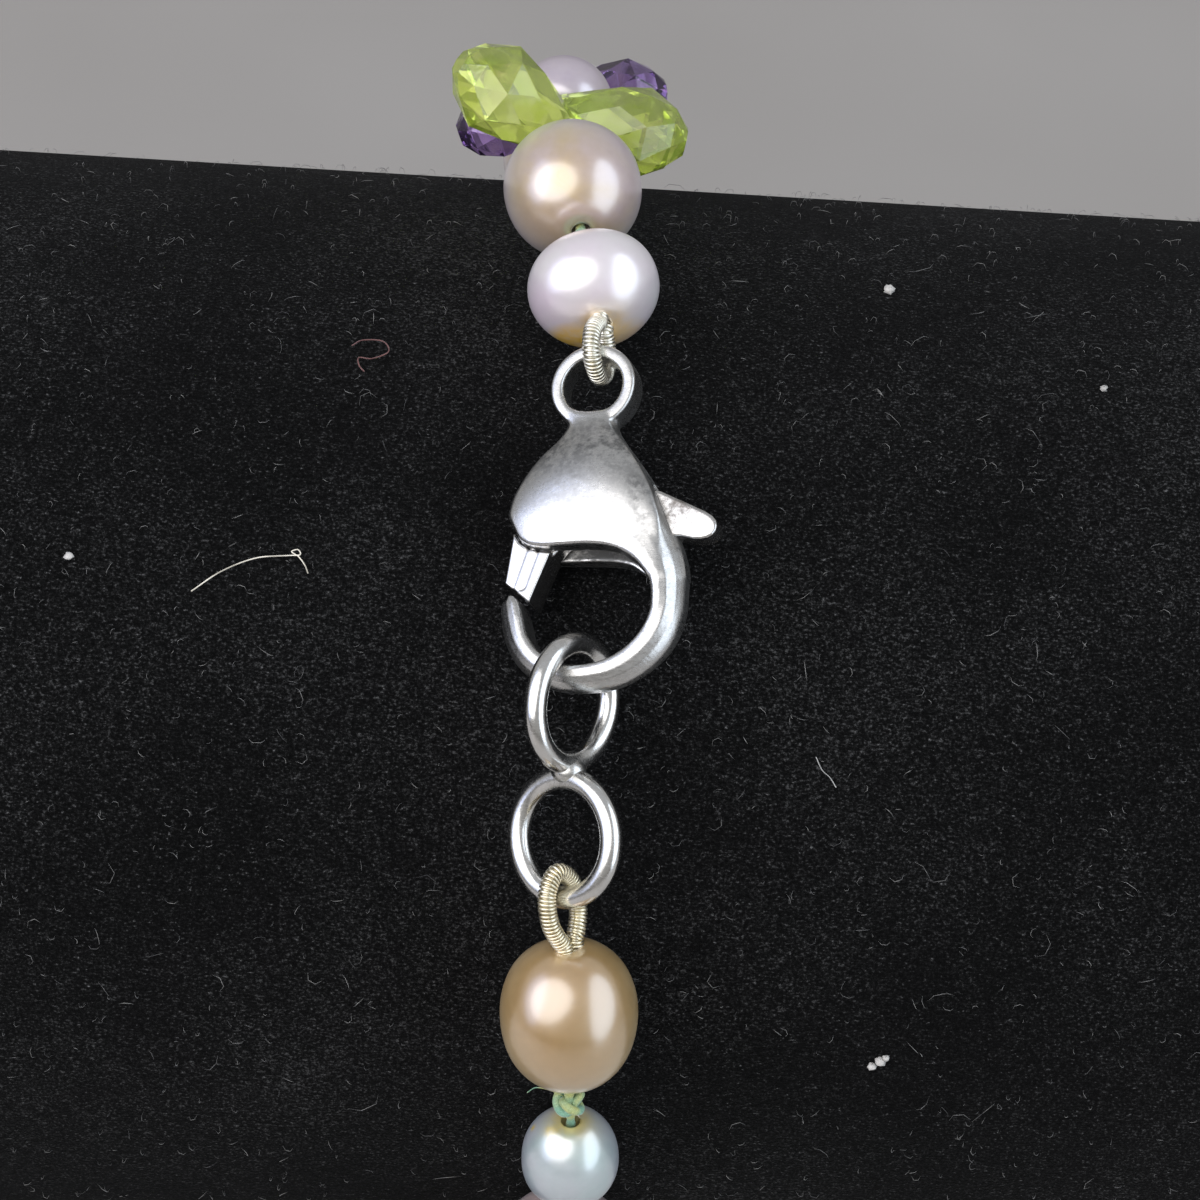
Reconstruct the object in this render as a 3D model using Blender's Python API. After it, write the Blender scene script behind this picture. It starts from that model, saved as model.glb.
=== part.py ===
"""Pearl bracelet with a spring clasp, hung over a velvet-covered display bar.

Written in millimetres and stored in metres. X runs along the bar, Z is up, and the side
that the clasp shows is -Y. Places on the strand are given by an angle round the bar, from
the front over the top, and by a distance from the bar's axis.
"""

import math

import bmesh
import bpy
import numpy as np

MM = 0.001

# Stand
BAR_RADIUS = 26.0
BAR_LENGTH = 136.0
BAR_EDGE = 2.5
BAR_SIDES = 56
AXIS_HEIGHT = 72.0
POST_RADIUS = 7.0
SOCKET_DEPTH = 7.0
BASE_RADIUS = 40.0
BASE_HEIGHT = 9.0
BASE_EDGE = 1.5
STAND_SIDES = 40
FIT_GAP = 0.3

# Strand
STRAND_X = 34.0
HIDDEN_RADIUS = 29.8
HIDDEN_SAG = 4.6
HIDDEN_EASE = 0.125
THREAD_RADIUS = 0.22
THREAD_SIDES = 6
KNOT_RADIUS = 0.5
KNOT_HALF = 0.22
KNOT_SLOPE = 0.14
BORE_RADIUS = 0.5
END_INSET = 0.6

# Pearls and stones
PEARL_SIDES = 14
PEARL_RINGS = 8
PEARL_POWER = 2.15
STONE_SIDES = 8
STONE_LENGTH = 7.2
STONE_WIDE = 5.0
STONE_THICK = 4.3
STONE_DRILL = 1.25
STONE_BORE = 0.42
AMETHYST_SHARE = 0.86
PAIR_PITCH = 2.75

# Clasp
CLASP_ANGLE = 63.2
CLASP_ROLL = 19.0
CLASP_HEIGHT = 28.48
CLASP_ALONG = 5.6
CLASP_X = 0.25
RING_RADIUS = 1.65
RING_HALF_WALL = 0.29
RING_HALF_DEPTH = 0.72
RING_CORNER = 0.6
RING_SIDES = 20
SLOT_HALF = 0.85
LEVER_HALF = 0.55
GATE_HALF = 0.85
PIVOT = (1.95, -6.0)
PIN_RADIUS = 0.3
PIN_HALF = 1.05
PIN_BORE = 0.52
PIN_BORE_HALF = 1.25
PIN_SIDES = 12

# Double ring and the two coiled loops
LINK_RADIUS = 2.6
LINK_WIRE = 0.5
LINK_PITCH = 5.85
LINK_SIDES = 24
LINK_WIRE_SIDES = 6
LINK_JOIN_ANGLE = 40.0
LINK_JOIN_DISTANCE = 29.05
LINK_X = 0.0
UPPER_TURN = 53.0
LOWER_TURN = 40.0
COIL_RADIUS = 0.42
COIL_SIDES = 8
COIL_STEPS = 18
COIL_GAP = 0.17
LOWER_HALF_WIDE = 1.2
UPPER_HALF_WIDE = 1.38


def clear_scene():
    for obj in list(bpy.data.objects):
        bpy.data.objects.remove(obj, do_unlink=True)


def material(name, colour, roughness, metallic=0.0):
    made = bpy.data.materials.new(name)
    made.use_nodes = True
    shader = made.node_tree.nodes["Principled BSDF"]
    shader.inputs["Base Color"].default_value = (*colour, 1.0)
    shader.inputs["Roughness"].default_value = roughness
    shader.inputs["Metallic"].default_value = metallic
    made.diffuse_color = (*colour, 1.0)
    return made


def add_object(name, points, faces, mat=None, smooth=True):
    """One mesh object from points in millimetres."""
    mesh = bpy.data.meshes.new(name)
    mesh.from_pydata((np.asarray(points) * MM).tolist(), [], [list(map(int, f)) for f in faces])
    work = bmesh.new()
    work.from_mesh(mesh)
    bmesh.ops.triangulate(work, faces=work.faces)
    bmesh.ops.recalc_face_normals(work, faces=work.faces)
    work.to_mesh(mesh)
    work.free()
    for polygon in mesh.polygons:
        polygon.use_smooth = smooth
    obj = bpy.data.objects.new(name, mesh)
    bpy.context.scene.collection.objects.link(obj)
    if mat:
        mesh.materials.append(mat)
    return obj


def helper(name, points, faces):
    """A cutter or a shape to join on: a hidden object that no node is made from."""
    obj = add_object(name, points, faces)
    obj.hide_render = True
    obj.display_type = "WIRE"
    return obj


def boolean(obj, other, operation):
    step = obj.modifiers.new(other.name, "BOOLEAN")
    step.operation = operation
    step.solver = "EXACT"
    step.object = other


def tube_faces(stations, sides, closed):
    """Faces between rings of points, with end caps unless the tube closes on itself."""
    faces = []
    for i in range(stations if closed else stations - 1):
        j = (i + 1) % stations
        for k in range(sides):
            m = (k + 1) % sides
            faces.append((i * sides + k, i * sides + m, j * sides + m, j * sides + k))
    if not closed:
        faces.append(tuple(range(sides)))
        faces.append(tuple(range((stations - 1) * sides, stations * sides)))
    return faces


def unit(vector):
    return np.asarray(vector, float) / np.linalg.norm(vector)


def place(points, origin, axes):
    """Local points set on three axes at an origin."""
    return np.asarray(origin) + np.asarray(points) @ np.asarray(axes)


def lathe(profile, sides, origin, axes):
    """A closed profile of (radius, height) turned about the third axis."""
    profile = np.asarray(profile)
    turn = np.arange(sides) * 2 * math.pi / sides
    rings = [
        np.stack([r * np.cos(turn), r * np.sin(turn), np.full(sides, h)], axis=1)
        for r, h in profile
    ]
    return place(np.concatenate(rings), origin, axes)


def solid_lathe(profile, sides, origin, axes):
    return lathe(profile, sides, origin, axes), tube_faces(len(profile), sides, False)


def bored_lathe(profile, sides, origin, axes):
    return lathe(profile, sides, origin, axes), tube_faces(len(profile), sides, True)


def sweep(centres, sides_axis, normals_axis, radii, sides, closed):
    """A round tube: at each centre a ring of points on the two given axes."""
    turn = np.arange(sides) * 2 * math.pi / sides
    ring = np.stack([np.cos(turn), np.sin(turn)], axis=1)
    points = [
        c + r * (ring[:, :1] * a + ring[:, 1:] * b)
        for c, a, b, r in zip(centres, sides_axis, normals_axis, radii)
    ]
    return np.concatenate(points), tube_faces(len(centres), sides, closed)


def plate(outline, half, chamfer, origin, axes):
    """A flat outline thickened both ways, with its edges eased by a chamfer."""
    outline = np.asarray(outline, float)
    before = outline - np.roll(outline, 1, axis=0)
    after = np.roll(outline, -1, axis=0) - outline
    before /= np.linalg.norm(before, axis=1)[:, None]
    after /= np.linalg.norm(after, axis=1)[:, None]
    inward = np.stack([-(before + after)[:, 1], (before + after)[:, 0]], axis=1)
    inward /= np.linalg.norm(inward, axis=1)[:, None]
    area = 0.5 * np.sum(
        outline[:, 0] * np.roll(outline[:, 1], -1) - outline[:, 1] * np.roll(outline[:, 0], -1)
    )
    inward *= math.copysign(1.0, area)
    eased = outline + inward * chamfer
    levels = ((eased, -half), (outline, chamfer - half), (outline, half - chamfer), (eased, half))
    if not chamfer:
        levels = ((outline, -half), (outline, half))
    points = np.concatenate([np.column_stack([p, np.full(len(p), h)]) for p, h in levels])
    return place(points, origin, axes), tube_faces(len(levels), len(outline), False)


def on_bar(angle, distance, x):
    """A point at an angle round the bar and a distance from its axis."""
    turn = math.radians(angle)
    return np.array(
        [STRAND_X + x, -distance * math.cos(turn), AXIS_HEIGHT + distance * math.sin(turn)]
    )


def outward(angle):
    turn = math.radians(angle)
    return np.array([0.0, -math.cos(turn), math.sin(turn)])


def along(angle):
    turn = math.radians(angle)
    return np.array([0.0, math.sin(turn), math.cos(turn)])


ACROSS = np.array([1.0, 0.0, 0.0])
WORLD = np.eye(3)
BAR_AXES = np.array([[0.0, 1.0, 0.0], [0.0, 0.0, 1.0], [1.0, 0.0, 0.0]])


def eased_cylinder(radius, low, high, edge):
    """Profile of a cylinder with rounded rims."""
    share = math.sqrt(0.5)
    return [
        (radius - edge, low),
        (radius - edge + edge * share, low + edge - edge * share),
        (radius, low + edge),
        (radius, high - edge),
        (radius - edge + edge * share, high - edge + edge * share),
        (radius - edge, high),
    ]


def build_stand():
    velvet = material("black_velvet", (0.012, 0.012, 0.014), 0.95)
    half = BAR_LENGTH / 2
    axis = (0.0, 0.0, AXIS_HEIGHT)
    bar = add_object(
        "display_bar",
        *solid_lathe(eased_cylinder(BAR_RADIUS, -half, half, BAR_EDGE), BAR_SIDES, axis, BAR_AXES),
        velvet,
    )
    bar_socket = AXIS_HEIGHT - BAR_RADIUS + SOCKET_DEPTH
    socket = ((POST_RADIUS + FIT_GAP, 0.0), (POST_RADIUS + FIT_GAP, bar_socket))
    cutter = helper("bar_socket_cutter", *solid_lathe(socket, STAND_SIDES, (0, 0, 0), WORLD))
    boolean(bar, cutter, "DIFFERENCE")
    foot = BASE_HEIGHT - SOCKET_DEPTH + 2 * FIT_GAP
    post_profile = ((POST_RADIUS, foot), (POST_RADIUS, bar_socket - FIT_GAP))
    add_object(
        "display_post", *solid_lathe(post_profile, STAND_SIDES, (0, 0, 0), WORLD),
        material("post_velvet", (0.012, 0.012, 0.014), 0.95),
    )
    base_profile = eased_cylinder(BASE_RADIUS, 0.0, BASE_HEIGHT, BASE_EDGE)
    base = add_object(
        "display_base", *solid_lathe(base_profile, STAND_SIDES, (0, 0, 0), WORLD),
        material("base_velvet", (0.012, 0.012, 0.014), 0.95),
    )
    socket = ((POST_RADIUS + FIT_GAP, foot - FIT_GAP), (POST_RADIUS + FIT_GAP, 2 * BASE_HEIGHT))
    cutter = helper("base_socket_cutter", *solid_lathe(socket, STAND_SIDES, (0, 0, 0), WORLD))
    boolean(base, cutter, "DIFFERENCE")


# Clasp: its own axes are across (u), towards the ring (v) and out of its front (w).
CLASP_V = along(CLASP_ANGLE)
CLASP_TILT = math.radians(CLASP_ROLL)
CLASP_W = outward(CLASP_ANGLE) * math.cos(CLASP_TILT) - ACROSS * math.sin(CLASP_TILT)
CLASP_U = ACROSS * math.cos(CLASP_TILT) + outward(CLASP_ANGLE) * math.sin(CLASP_TILT)
CLASP_AXES = np.array([CLASP_U, CLASP_V, CLASP_W])
CLASP_ORIGIN = (
    on_bar(CLASP_ANGLE, CLASP_HEIGHT, CLASP_X) + CLASP_V * CLASP_ALONG
)

# Domed body: place along v, left and right edges, half depth.
BODY_STATIONS = (
    (-1.55, -0.70, 0.70, 0.60),
    (-2.0, -0.92, 0.95, 0.85),
    (-2.5, -1.30, 1.30, 1.10),
    (-3.3, -2.08, 1.95, 1.40),
    (-4.4, -2.80, 2.65, 1.66),
    (-5.4, -3.28, 3.15, 1.80),
    (-6.1, -3.45, 3.50, 1.85),
    (-6.7, -3.25, 3.78, 1.84),
    (-7.2, -2.75, 4.00, 1.78),
    (-7.6, -2.10, 4.15, 1.70),
)
BODY_SIDES = 24
BODY_POWER = 0.66

# Hook: inner edge (u, v), outer edge (u, v), depth.
HOOK_STATIONS = (
    (1.30, -7.00, 3.80, -6.90, 3.10),
    (1.60, -7.75, 4.20, -7.75, 3.10),
    (2.28, -8.20, 4.46, -8.30, 2.95),
    (2.95, -8.80, 4.60, -9.00, 2.75),
    (3.28, -9.60, 4.66, -9.75, 2.55),
    (3.32, -10.6, 4.58, -10.90, 2.40),
    (3.00, -11.5, 4.12, -12.15, 2.30),
    (2.33, -12.3, 3.18, -13.15, 2.15),
    (1.40, -12.85, 1.90, -13.85, 2.00),
    (0.30, -13.05, 0.38, -14.08, 1.95),
    (-0.80, -12.88, -1.12, -13.90, 1.95),
    (-1.65, -12.35, -2.38, -13.20, 1.95),
    (-2.25, -11.6, -3.20, -12.20, 1.90),
    (-2.55, -10.85, -3.60, -11.00, 1.85),
    (-2.64, -10.35, -3.60, -9.50, 1.70),
)
# Half of the hook's section, from the flat inner side to the domed outer one, as shares.
HOOK_SECTION = ((0.0, 0.41), (0.2, 0.5), (0.58, 0.47), (0.86, 0.32), (1.0, 0.11))

SLOT_OUTLINE = (
    (-4.6, -5.5), (0.6, -4.6), (5.6, -4.2), (5.6, -7.8), (2.2, -7.8), (1.3, -8.7), (-4.6, -8.7),
)
LEVER_OUTLINE = (
    (0.9, -5.2), (2.1, -5.0), (3.35, -5.15), (5.4, -6.2), (5.92, -6.65), (6.0, -7.0),
    (5.76, -7.34), (5.0, -7.48), (4.4, -7.3), (3.6, -7.25), (1.9, -7.15), (0.3, -7.05),
    (-0.9, -7.4), (-1.48, -8.05), (-2.25, -10.0), (-3.3, -9.1), (-3.1, -7.2), (-2.4, -6.35),
    (-0.6, -5.6),
)
GATE_OUTLINE = (
    (-3.2, -7.2), (-2.7, -7.5), (-2.1, -7.84), (-1.42, -7.88), (-2.25, -10.0), (-3.33, -9.1),
)
LEVER_CHAMFER = 0.12


def body_points():
    turn = np.arange(BODY_SIDES) * 2 * math.pi / BODY_SIDES
    across = np.sign(np.cos(turn)) * np.abs(np.cos(turn)) ** BODY_POWER
    deep = np.sign(np.sin(turn)) * np.abs(np.sin(turn)) ** BODY_POWER
    rings = []
    for v, left, right, half in BODY_STATIONS:
        u = (left + right) / 2 + across * (right - left) / 2
        rings.append(np.stack([u, np.full(BODY_SIDES, v), deep * half], axis=1))
    return place(np.concatenate(rings), CLASP_ORIGIN, CLASP_AXES)


def hook_points():
    shares = HOOK_SECTION + tuple((n, -w) for n, w in reversed(HOOK_SECTION))
    rings = []
    for inner_u, inner_v, outer_u, outer_v, depth in HOOK_STATIONS:
        inner = np.array([inner_u, inner_v])
        outer = np.array([outer_u, outer_v])
        for n, w in shares:
            rings.append((*(inner + n * (outer - inner)), w * depth))
    return place(rings, CLASP_ORIGIN, CLASP_AXES), len(shares)


def ring_points():
    """The eye at the clasp's end: an eight-sided section carried round a circle."""
    section = [(1, RING_CORNER), (RING_CORNER, 1), (-RING_CORNER, 1), (-1, RING_CORNER)]
    section += [(-a, -b) for a, b in section]
    turn = np.arange(RING_SIDES) * 2 * math.pi / RING_SIDES
    rings = []
    for angle in turn:
        for wall, depth in section:
            radius = RING_RADIUS + wall * RING_HALF_WALL
            rings.append(
                (radius * math.cos(angle), radius * math.sin(angle), depth * RING_HALF_DEPTH)
            )
    return place(rings, CLASP_ORIGIN, CLASP_AXES), len(section)


def pin_shape(radius, half):
    origin = CLASP_ORIGIN + PIVOT[0] * CLASP_U + PIVOT[1] * CLASP_V
    return solid_lathe(((radius, -half), (radius, half)), PIN_SIDES, origin, CLASP_AXES)


def build_clasp():
    silver = material("clasp_silver", (0.74, 0.73, 0.70), 0.28, 1.0)
    stations = len(BODY_STATIONS)
    body = add_object(
        "clasp_body", body_points(), tube_faces(stations, BODY_SIDES, False), silver
    )
    hook, hook_sides = hook_points()
    hook_faces = tube_faces(len(HOOK_STATIONS), hook_sides, False)
    boolean(body, helper("hook_shape", hook, hook_faces), "UNION")
    ring, ring_sides = ring_points()
    ring_faces = tube_faces(RING_SIDES, ring_sides, True)
    boolean(body, helper("clasp_eye_shape", ring, ring_faces), "UNION")
    slot = plate(SLOT_OUTLINE, SLOT_HALF, 0.0, CLASP_ORIGIN, CLASP_AXES)
    boolean(body, helper("slot_cutter", *slot), "DIFFERENCE")
    bore = helper("pin_bore_cutter", *pin_shape(PIN_BORE, PIN_BORE_HALF))
    boolean(body, bore, "DIFFERENCE")

    pivot = CLASP_ORIGIN + PIVOT[0] * CLASP_U + PIVOT[1] * CLASP_V
    points, faces = plate(LEVER_OUTLINE, LEVER_HALF, LEVER_CHAMFER, CLASP_ORIGIN, CLASP_AXES)
    lever = add_object(
        "clasp_lever", points - pivot, faces,
        material("lever_silver", (0.78, 0.77, 0.75), 0.22, 1.0), smooth=False,
    )
    lever.location = pivot * MM
    gate = plate(GATE_OUTLINE, GATE_HALF, LEVER_CHAMFER, CLASP_ORIGIN, CLASP_AXES)
    boolean(lever, helper("gate_shape", *gate), "UNION")
    boolean(lever, bore, "DIFFERENCE")

    steel = material("pin_steel", (0.55, 0.55, 0.56), 0.35, 1.0)
    add_object("clasp_pin", *pin_shape(PIN_RADIUS, PIN_HALF), steel)


def link_axes(turn_degrees, side):
    """The crosswise and facing axes of one ring of the link, which lies along the strand."""
    turn = math.radians(turn_degrees)
    return side * ACROSS * math.cos(turn) + outward(LINK_JOIN_ANGLE) * math.sin(turn)


def ring_tube(centre, first, second):
    turn = np.arange(LINK_SIDES) * 2 * math.pi / LINK_SIDES
    spokes = [math.cos(a) * first + math.sin(a) * second for a in turn]
    facing = np.cross(first, second)
    centres = [centre + LINK_RADIUS * spoke for spoke in spokes]
    radii = [LINK_WIRE] * LINK_SIDES
    return sweep(centres, spokes, [facing] * LINK_SIDES, radii, LINK_WIRE_SIDES, True)


LINK_JOIN = on_bar(LINK_JOIN_ANGLE, LINK_JOIN_DISTANCE, LINK_X)
UPPER_CENTRE = LINK_JOIN + along(LINK_JOIN_ANGLE) * LINK_PITCH / 2
LOWER_CENTRE = LINK_JOIN - along(LINK_JOIN_ANGLE) * LINK_PITCH / 2


def build_link():
    silver = material("link_silver", (0.76, 0.75, 0.73), 0.25, 1.0)
    lengthwise = along(LINK_JOIN_ANGLE)
    upper = ring_tube(UPPER_CENTRE, link_axes(UPPER_TURN, -1.0), lengthwise)
    link = add_object("double_ring", *upper, silver)
    lower = ring_tube(LOWER_CENTRE, link_axes(LOWER_TURN, 1.0), lengthwise)
    boolean(link, helper("lower_ring_shape", *lower), "UNION")


def coil_loop(name, centre, lengthwise, wide, half_long, half_wide, mat):
    """A closed loop of coiled wire, plain here, that ties the silk to a ring."""
    turn = np.arange(COIL_STEPS) * 2 * math.pi / COIL_STEPS
    centres = [
        centre + half_long * math.cos(a) * lengthwise + half_wide * math.sin(a) * wide
        for a in turn
    ]
    facing = unit(np.cross(lengthwise, wide))
    tangents = [
        unit(half_wide * math.cos(a) * wide - half_long * math.sin(a) * lengthwise) for a in turn
    ]
    spokes = [np.cross(t, facing) for t in tangents]
    shape = sweep(
        centres, spokes, [facing] * COIL_STEPS, [COIL_RADIUS] * COIL_STEPS, COIL_SIDES, True
    )
    return add_object(name, *shape, mat)


# Seen stones and pearls, from the lower end of the strand to the upper one: angle round
# the bar, distance from its axis, offset along it. The hidden ones come from the route.
SEEN_LOW = (
    ("pearl_big", 18.4, 29.5, 0.65),
    ("pearl_small", 1.6, 28.9, 1.08),
)
SEEN_HIGH = (
    ("amethyst_end", 129.1, 29.9, -2.2),
    ("amethyst_near", 124.5, 30.1, -2.4),
    ("pearl_lilac", 117.3, 30.3, -2.1),
    ("peridot_far", 110.3, 30.7, -2.15),
    ("peridot_near", 105.1, 30.8, -2.1),
    ("pearl_mauve", 96.4, 30.4, -1.4),
    ("pearl_white", 84.7, 29.6, -0.15),
)
# Half length along the strand and radius across it.
PEARL_SIZES = {
    "pearl_big": (3.5, 3.05),
    "pearl_small": (2.5, 2.18),
    "pearl_lilac": (2.3, 2.35),
    "pearl_mauve": (3.1, 3.15),
    "pearl_white": (2.3, 2.95),
}
PEARL_COLOURS = {
    "pearl_big": (0.62, 0.47, 0.38),
    "pearl_small": (0.60, 0.64, 0.66),
    "pearl_lilac": (0.58, 0.52, 0.56),
    "pearl_mauve": (0.47, 0.39, 0.38),
    "pearl_white": (0.74, 0.68, 0.70),
}
STONE_COLOURS = {"peridot": (0.55, 0.74, 0.10), "amethyst": (0.20, 0.08, 0.34)}
# Rise above the tangent plane and swing along the strand of each stone, in degrees.
STONE_LEAN = {
    "peridot_near": (-1.0, 36.0, 0.0),
    "peridot_far": (1.0, -9.0, 0.0),
    "amethyst_near": (-1.0, -23.0, 0.0),
    "amethyst_far": (1.0, 14.0, 0.0),
    "amethyst_end": (1.0, 12.0, 12.0),
}
HIDDEN_GROUP = (
    "pearl_white", "pearl_mauve", "pearl_small", "peridot", "pearl_lilac", "amethyst",
)
HIDDEN_GROUPS = 3
HIDDEN_LAST = ("pearl_white", "pearl_mauve")
HIDDEN_START = 132.4
HIDDEN_END = 355.6
ROUTE_STEPS = 900


def hidden_route():
    """Points of the hidden stretch: down the back of the bar, below it and up its front.

    The share of the turn done is eased at both ends, over HIDDEN_EASE of it, to the height
    of the seen pearls there.
    """
    angles = np.linspace(HIDDEN_START, HIDDEN_END, ROUTE_STEPS)
    turns = np.radians(angles)
    low = np.clip(-np.sin(turns), 0.0, None)
    share = (angles - HIDDEN_START) / (HIDDEN_END - HIDDEN_START)
    start = SEEN_HIGH[0]
    end = SEEN_LOW[-1]
    level = start[2] + (HIDDEN_RADIUS - start[2]) * np.clip(share / HIDDEN_EASE, 0, 1)
    level += (end[2] - HIDDEN_RADIUS) * np.clip((share - 1) / HIDDEN_EASE + 1, 0, 1)
    x = start[3] + (end[3] - start[3]) * share * share * (3 - 2 * share)
    y = -level * np.cos(turns)
    z = level * np.sin(turns) - HIDDEN_SAG * low
    return np.stack([STRAND_X + x, y, AXIS_HEIGHT + z], axis=1)


def half_length(kind):
    if kind in PEARL_SIZES:
        return PEARL_SIZES[kind][0]
    share = AMETHYST_SHARE if kind.startswith("amethyst") else 1.0
    return PAIR_PITCH * share / 2


def hidden_beads():
    """Pearls and pairs of stones set along the hidden stretch with equal gaps."""
    kinds = []
    for kind in HIDDEN_GROUP * HIDDEN_GROUPS + HIDDEN_LAST:
        kinds += [kind] if kind in PEARL_SIZES else [kind + "_near", kind + "_far"]
    pairs = sum(kind.endswith("_far") for kind in kinds)
    route = hidden_route()
    steps = np.linalg.norm(np.diff(route, axis=0), axis=1)
    run = np.concatenate([[0.0], np.cumsum(steps)])
    gap = (run[-1] - 2 * sum(map(half_length, kinds))) / (len(kinds) + 1 - pairs)
    beads = []
    reach = 0.0
    for kind in kinds:
        reach += 0.0 if kind.endswith("_far") else gap
        reach += half_length(kind)
        centre = [np.interp(reach, run, route[:, i]) for i in range(3)]
        beads.append((kind, np.array(centre)))
        reach += half_length(kind)
    return beads


def strand():
    """All pearls and stones in order round the loop, each with its centre and direction."""
    beads = [(kind, on_bar(*where)) for kind, *where in SEEN_LOW]
    beads += hidden_beads()[::-1]
    beads += [(kind, on_bar(*where)) for kind, *where in SEEN_HIGH]
    centres = np.array([centre for _, centre in beads])
    ahead = np.diff(centres, axis=0)
    ahead /= np.linalg.norm(ahead, axis=1)[:, None]
    directions = np.concatenate([ahead[:1], ahead[:-1] + ahead[1:], ahead[-1:]])
    directions /= np.linalg.norm(directions, axis=1)[:, None]
    return [(kind, centre, way) for (kind, centre), way in zip(beads, directions)]


def frame_at(centre, way):
    """Outward and crosswise axes at a bead, square to the strand's direction."""
    out = centre - np.array([centre[0], 0.0, AXIS_HEIGHT])
    out = unit(out - way * (out @ way))
    return out, np.cross(way, out)


def pearl_profile(half, radius):
    """Outer curve of a drilled pearl, from one rim of its bore to the other, then the bore."""
    power = PEARL_POWER
    start = math.asin((BORE_RADIUS / radius) ** (power / 2))
    turns = np.linspace(start, math.pi - start, PEARL_RINGS)
    across = radius * np.sin(turns) ** (2 / power)
    high = half * np.sign(np.cos(turns)) * np.abs(np.cos(turns)) ** (2 / power)
    return list(zip(across, high))


def build_pearl(name, kind, centre, way, mat):
    half, radius = PEARL_SIZES[kind]
    out, side = frame_at(centre, way)
    shape = bored_lathe(
        pearl_profile(half, radius), PEARL_SIDES, centre, np.array([side, out, way])
    )
    return add_object(name, *shape, mat)


# A cut stone from its drilled tip to its broad end: place along it and width, as shares.
STONE_RINGS = (
    (0.0, 0.26), (0.26, 0.58), (0.52, 0.9), (0.72, 1.0), (0.9, 0.68), (1.0, 0.3),
)


def build_stone(name, kind, centre, way, mat):
    share = AMETHYST_SHARE if kind.startswith("amethyst") else 1.0
    side, rise, swing = STONE_LEAN[kind]
    out, cross = frame_at(centre, way)
    cross = cross if cross[0] > 0 else -cross
    lean = math.radians(rise)
    pointing = side * cross * math.cos(lean) + out * math.sin(lean)
    turn = math.radians(swing)
    pointing = pointing * math.cos(turn) - way * math.sin(turn)
    bore_way = unit(way - pointing * (way @ pointing))
    thick_way = np.cross(pointing, bore_way)
    rings = []
    for row, (place_share, width_share) in enumerate(STONE_RINGS):
        turns = (np.arange(STONE_SIDES) + 0.5 * (row % 2)) * 2 * math.pi / STONE_SIDES
        rings.append(
            np.stack(
                [
                    0.5 * STONE_WIDE * share * width_share * np.cos(turns),
                    0.5 * STONE_THICK * share * width_share * np.sin(turns),
                    np.full(STONE_SIDES, (place_share * STONE_LENGTH - STONE_DRILL) * share),
                ],
                axis=1,
            )
        )
    points = place(
        np.concatenate(rings), centre, np.array([bore_way, thick_way, pointing])
    )
    faces = []
    for row in range(len(STONE_RINGS) - 1):
        low = row * STONE_SIDES
        high = low + STONE_SIDES
        for k in range(STONE_SIDES):
            m = (k + 1) % STONE_SIDES
            if row % 2:
                faces.append((low + k, high + m, high + k))
                faces.append((low + k, low + m, high + m))
            else:
                faces.append((low + k, low + m, high + k))
                faces.append((low + m, high + m, high + k))
    faces.append(tuple(range(STONE_SIDES)))
    faces.append(tuple(range(len(points) - STONE_SIDES, len(points))))
    stone = add_object(name, points, faces, mat, smooth=False)
    bore = solid_lathe(
        ((STONE_BORE, -STONE_WIDE), (STONE_BORE, STONE_WIDE)), STONE_SIDES, centre,
        np.array([cross, out, way]),
    )
    boolean(stone, helper(name + "_bore_cutter", *bore), "DIFFERENCE")
    return stone


def build_strand():
    beads = strand()
    counts = {}
    stations = []
    for index, (kind, centre, way) in enumerate(beads):
        family = kind.split("_")[0]
        counts[family] = counts.get(family, 0) + 1
        name = f"{family}_{counts[family]:02d}"
        if family == "pearl":
            build_pearl(name, kind, centre, way, material(name, PEARL_COLOURS[kind], 0.22))
        else:
            build_stone(name, kind, centre, way, material(name, STONE_COLOURS[family], 0.05))
        half = half_length(kind)
        first = END_INSET if index == 0 else 0.0
        last = END_INSET if index == len(beads) - 1 else 0.0
        stations.append((centre - way * (half - first), THREAD_RADIUS, way))
        if family == "pearl":
            stations.append((centre, THREAD_RADIUS, way))
        stations.append((centre + way * (half - last), THREAD_RADIUS, way))
        if index == len(beads) - 1:
            break
        if family != "pearl" and beads[index + 1][0].split("_")[0] == family:
            continue
        following, next_centre, next_way = beads[index + 1]
        start = stations[-1][0]
        end = next_centre - next_way * half_length(following)
        middle = (start + end) / 2
        knot_way = unit(end - start)
        for offset, radius in (
            (-KNOT_HALF - KNOT_SLOPE, THREAD_RADIUS),
            (-KNOT_HALF, KNOT_RADIUS),
            (KNOT_HALF, KNOT_RADIUS),
            (KNOT_HALF + KNOT_SLOPE, THREAD_RADIUS),
        ):
            stations.append((middle + knot_way * offset, radius, knot_way))
    frames = [frame_at(centre, way) for centre, _, way in stations]
    shape = sweep(
        [s[0] for s in stations], [f[0] for f in frames], [f[1] for f in frames],
        [s[1] for s in stations], THREAD_SIDES, False,
    )
    add_object("silk_thread", *shape, material("green_silk", (0.42, 0.50, 0.30), 0.7))
    return beads


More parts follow.
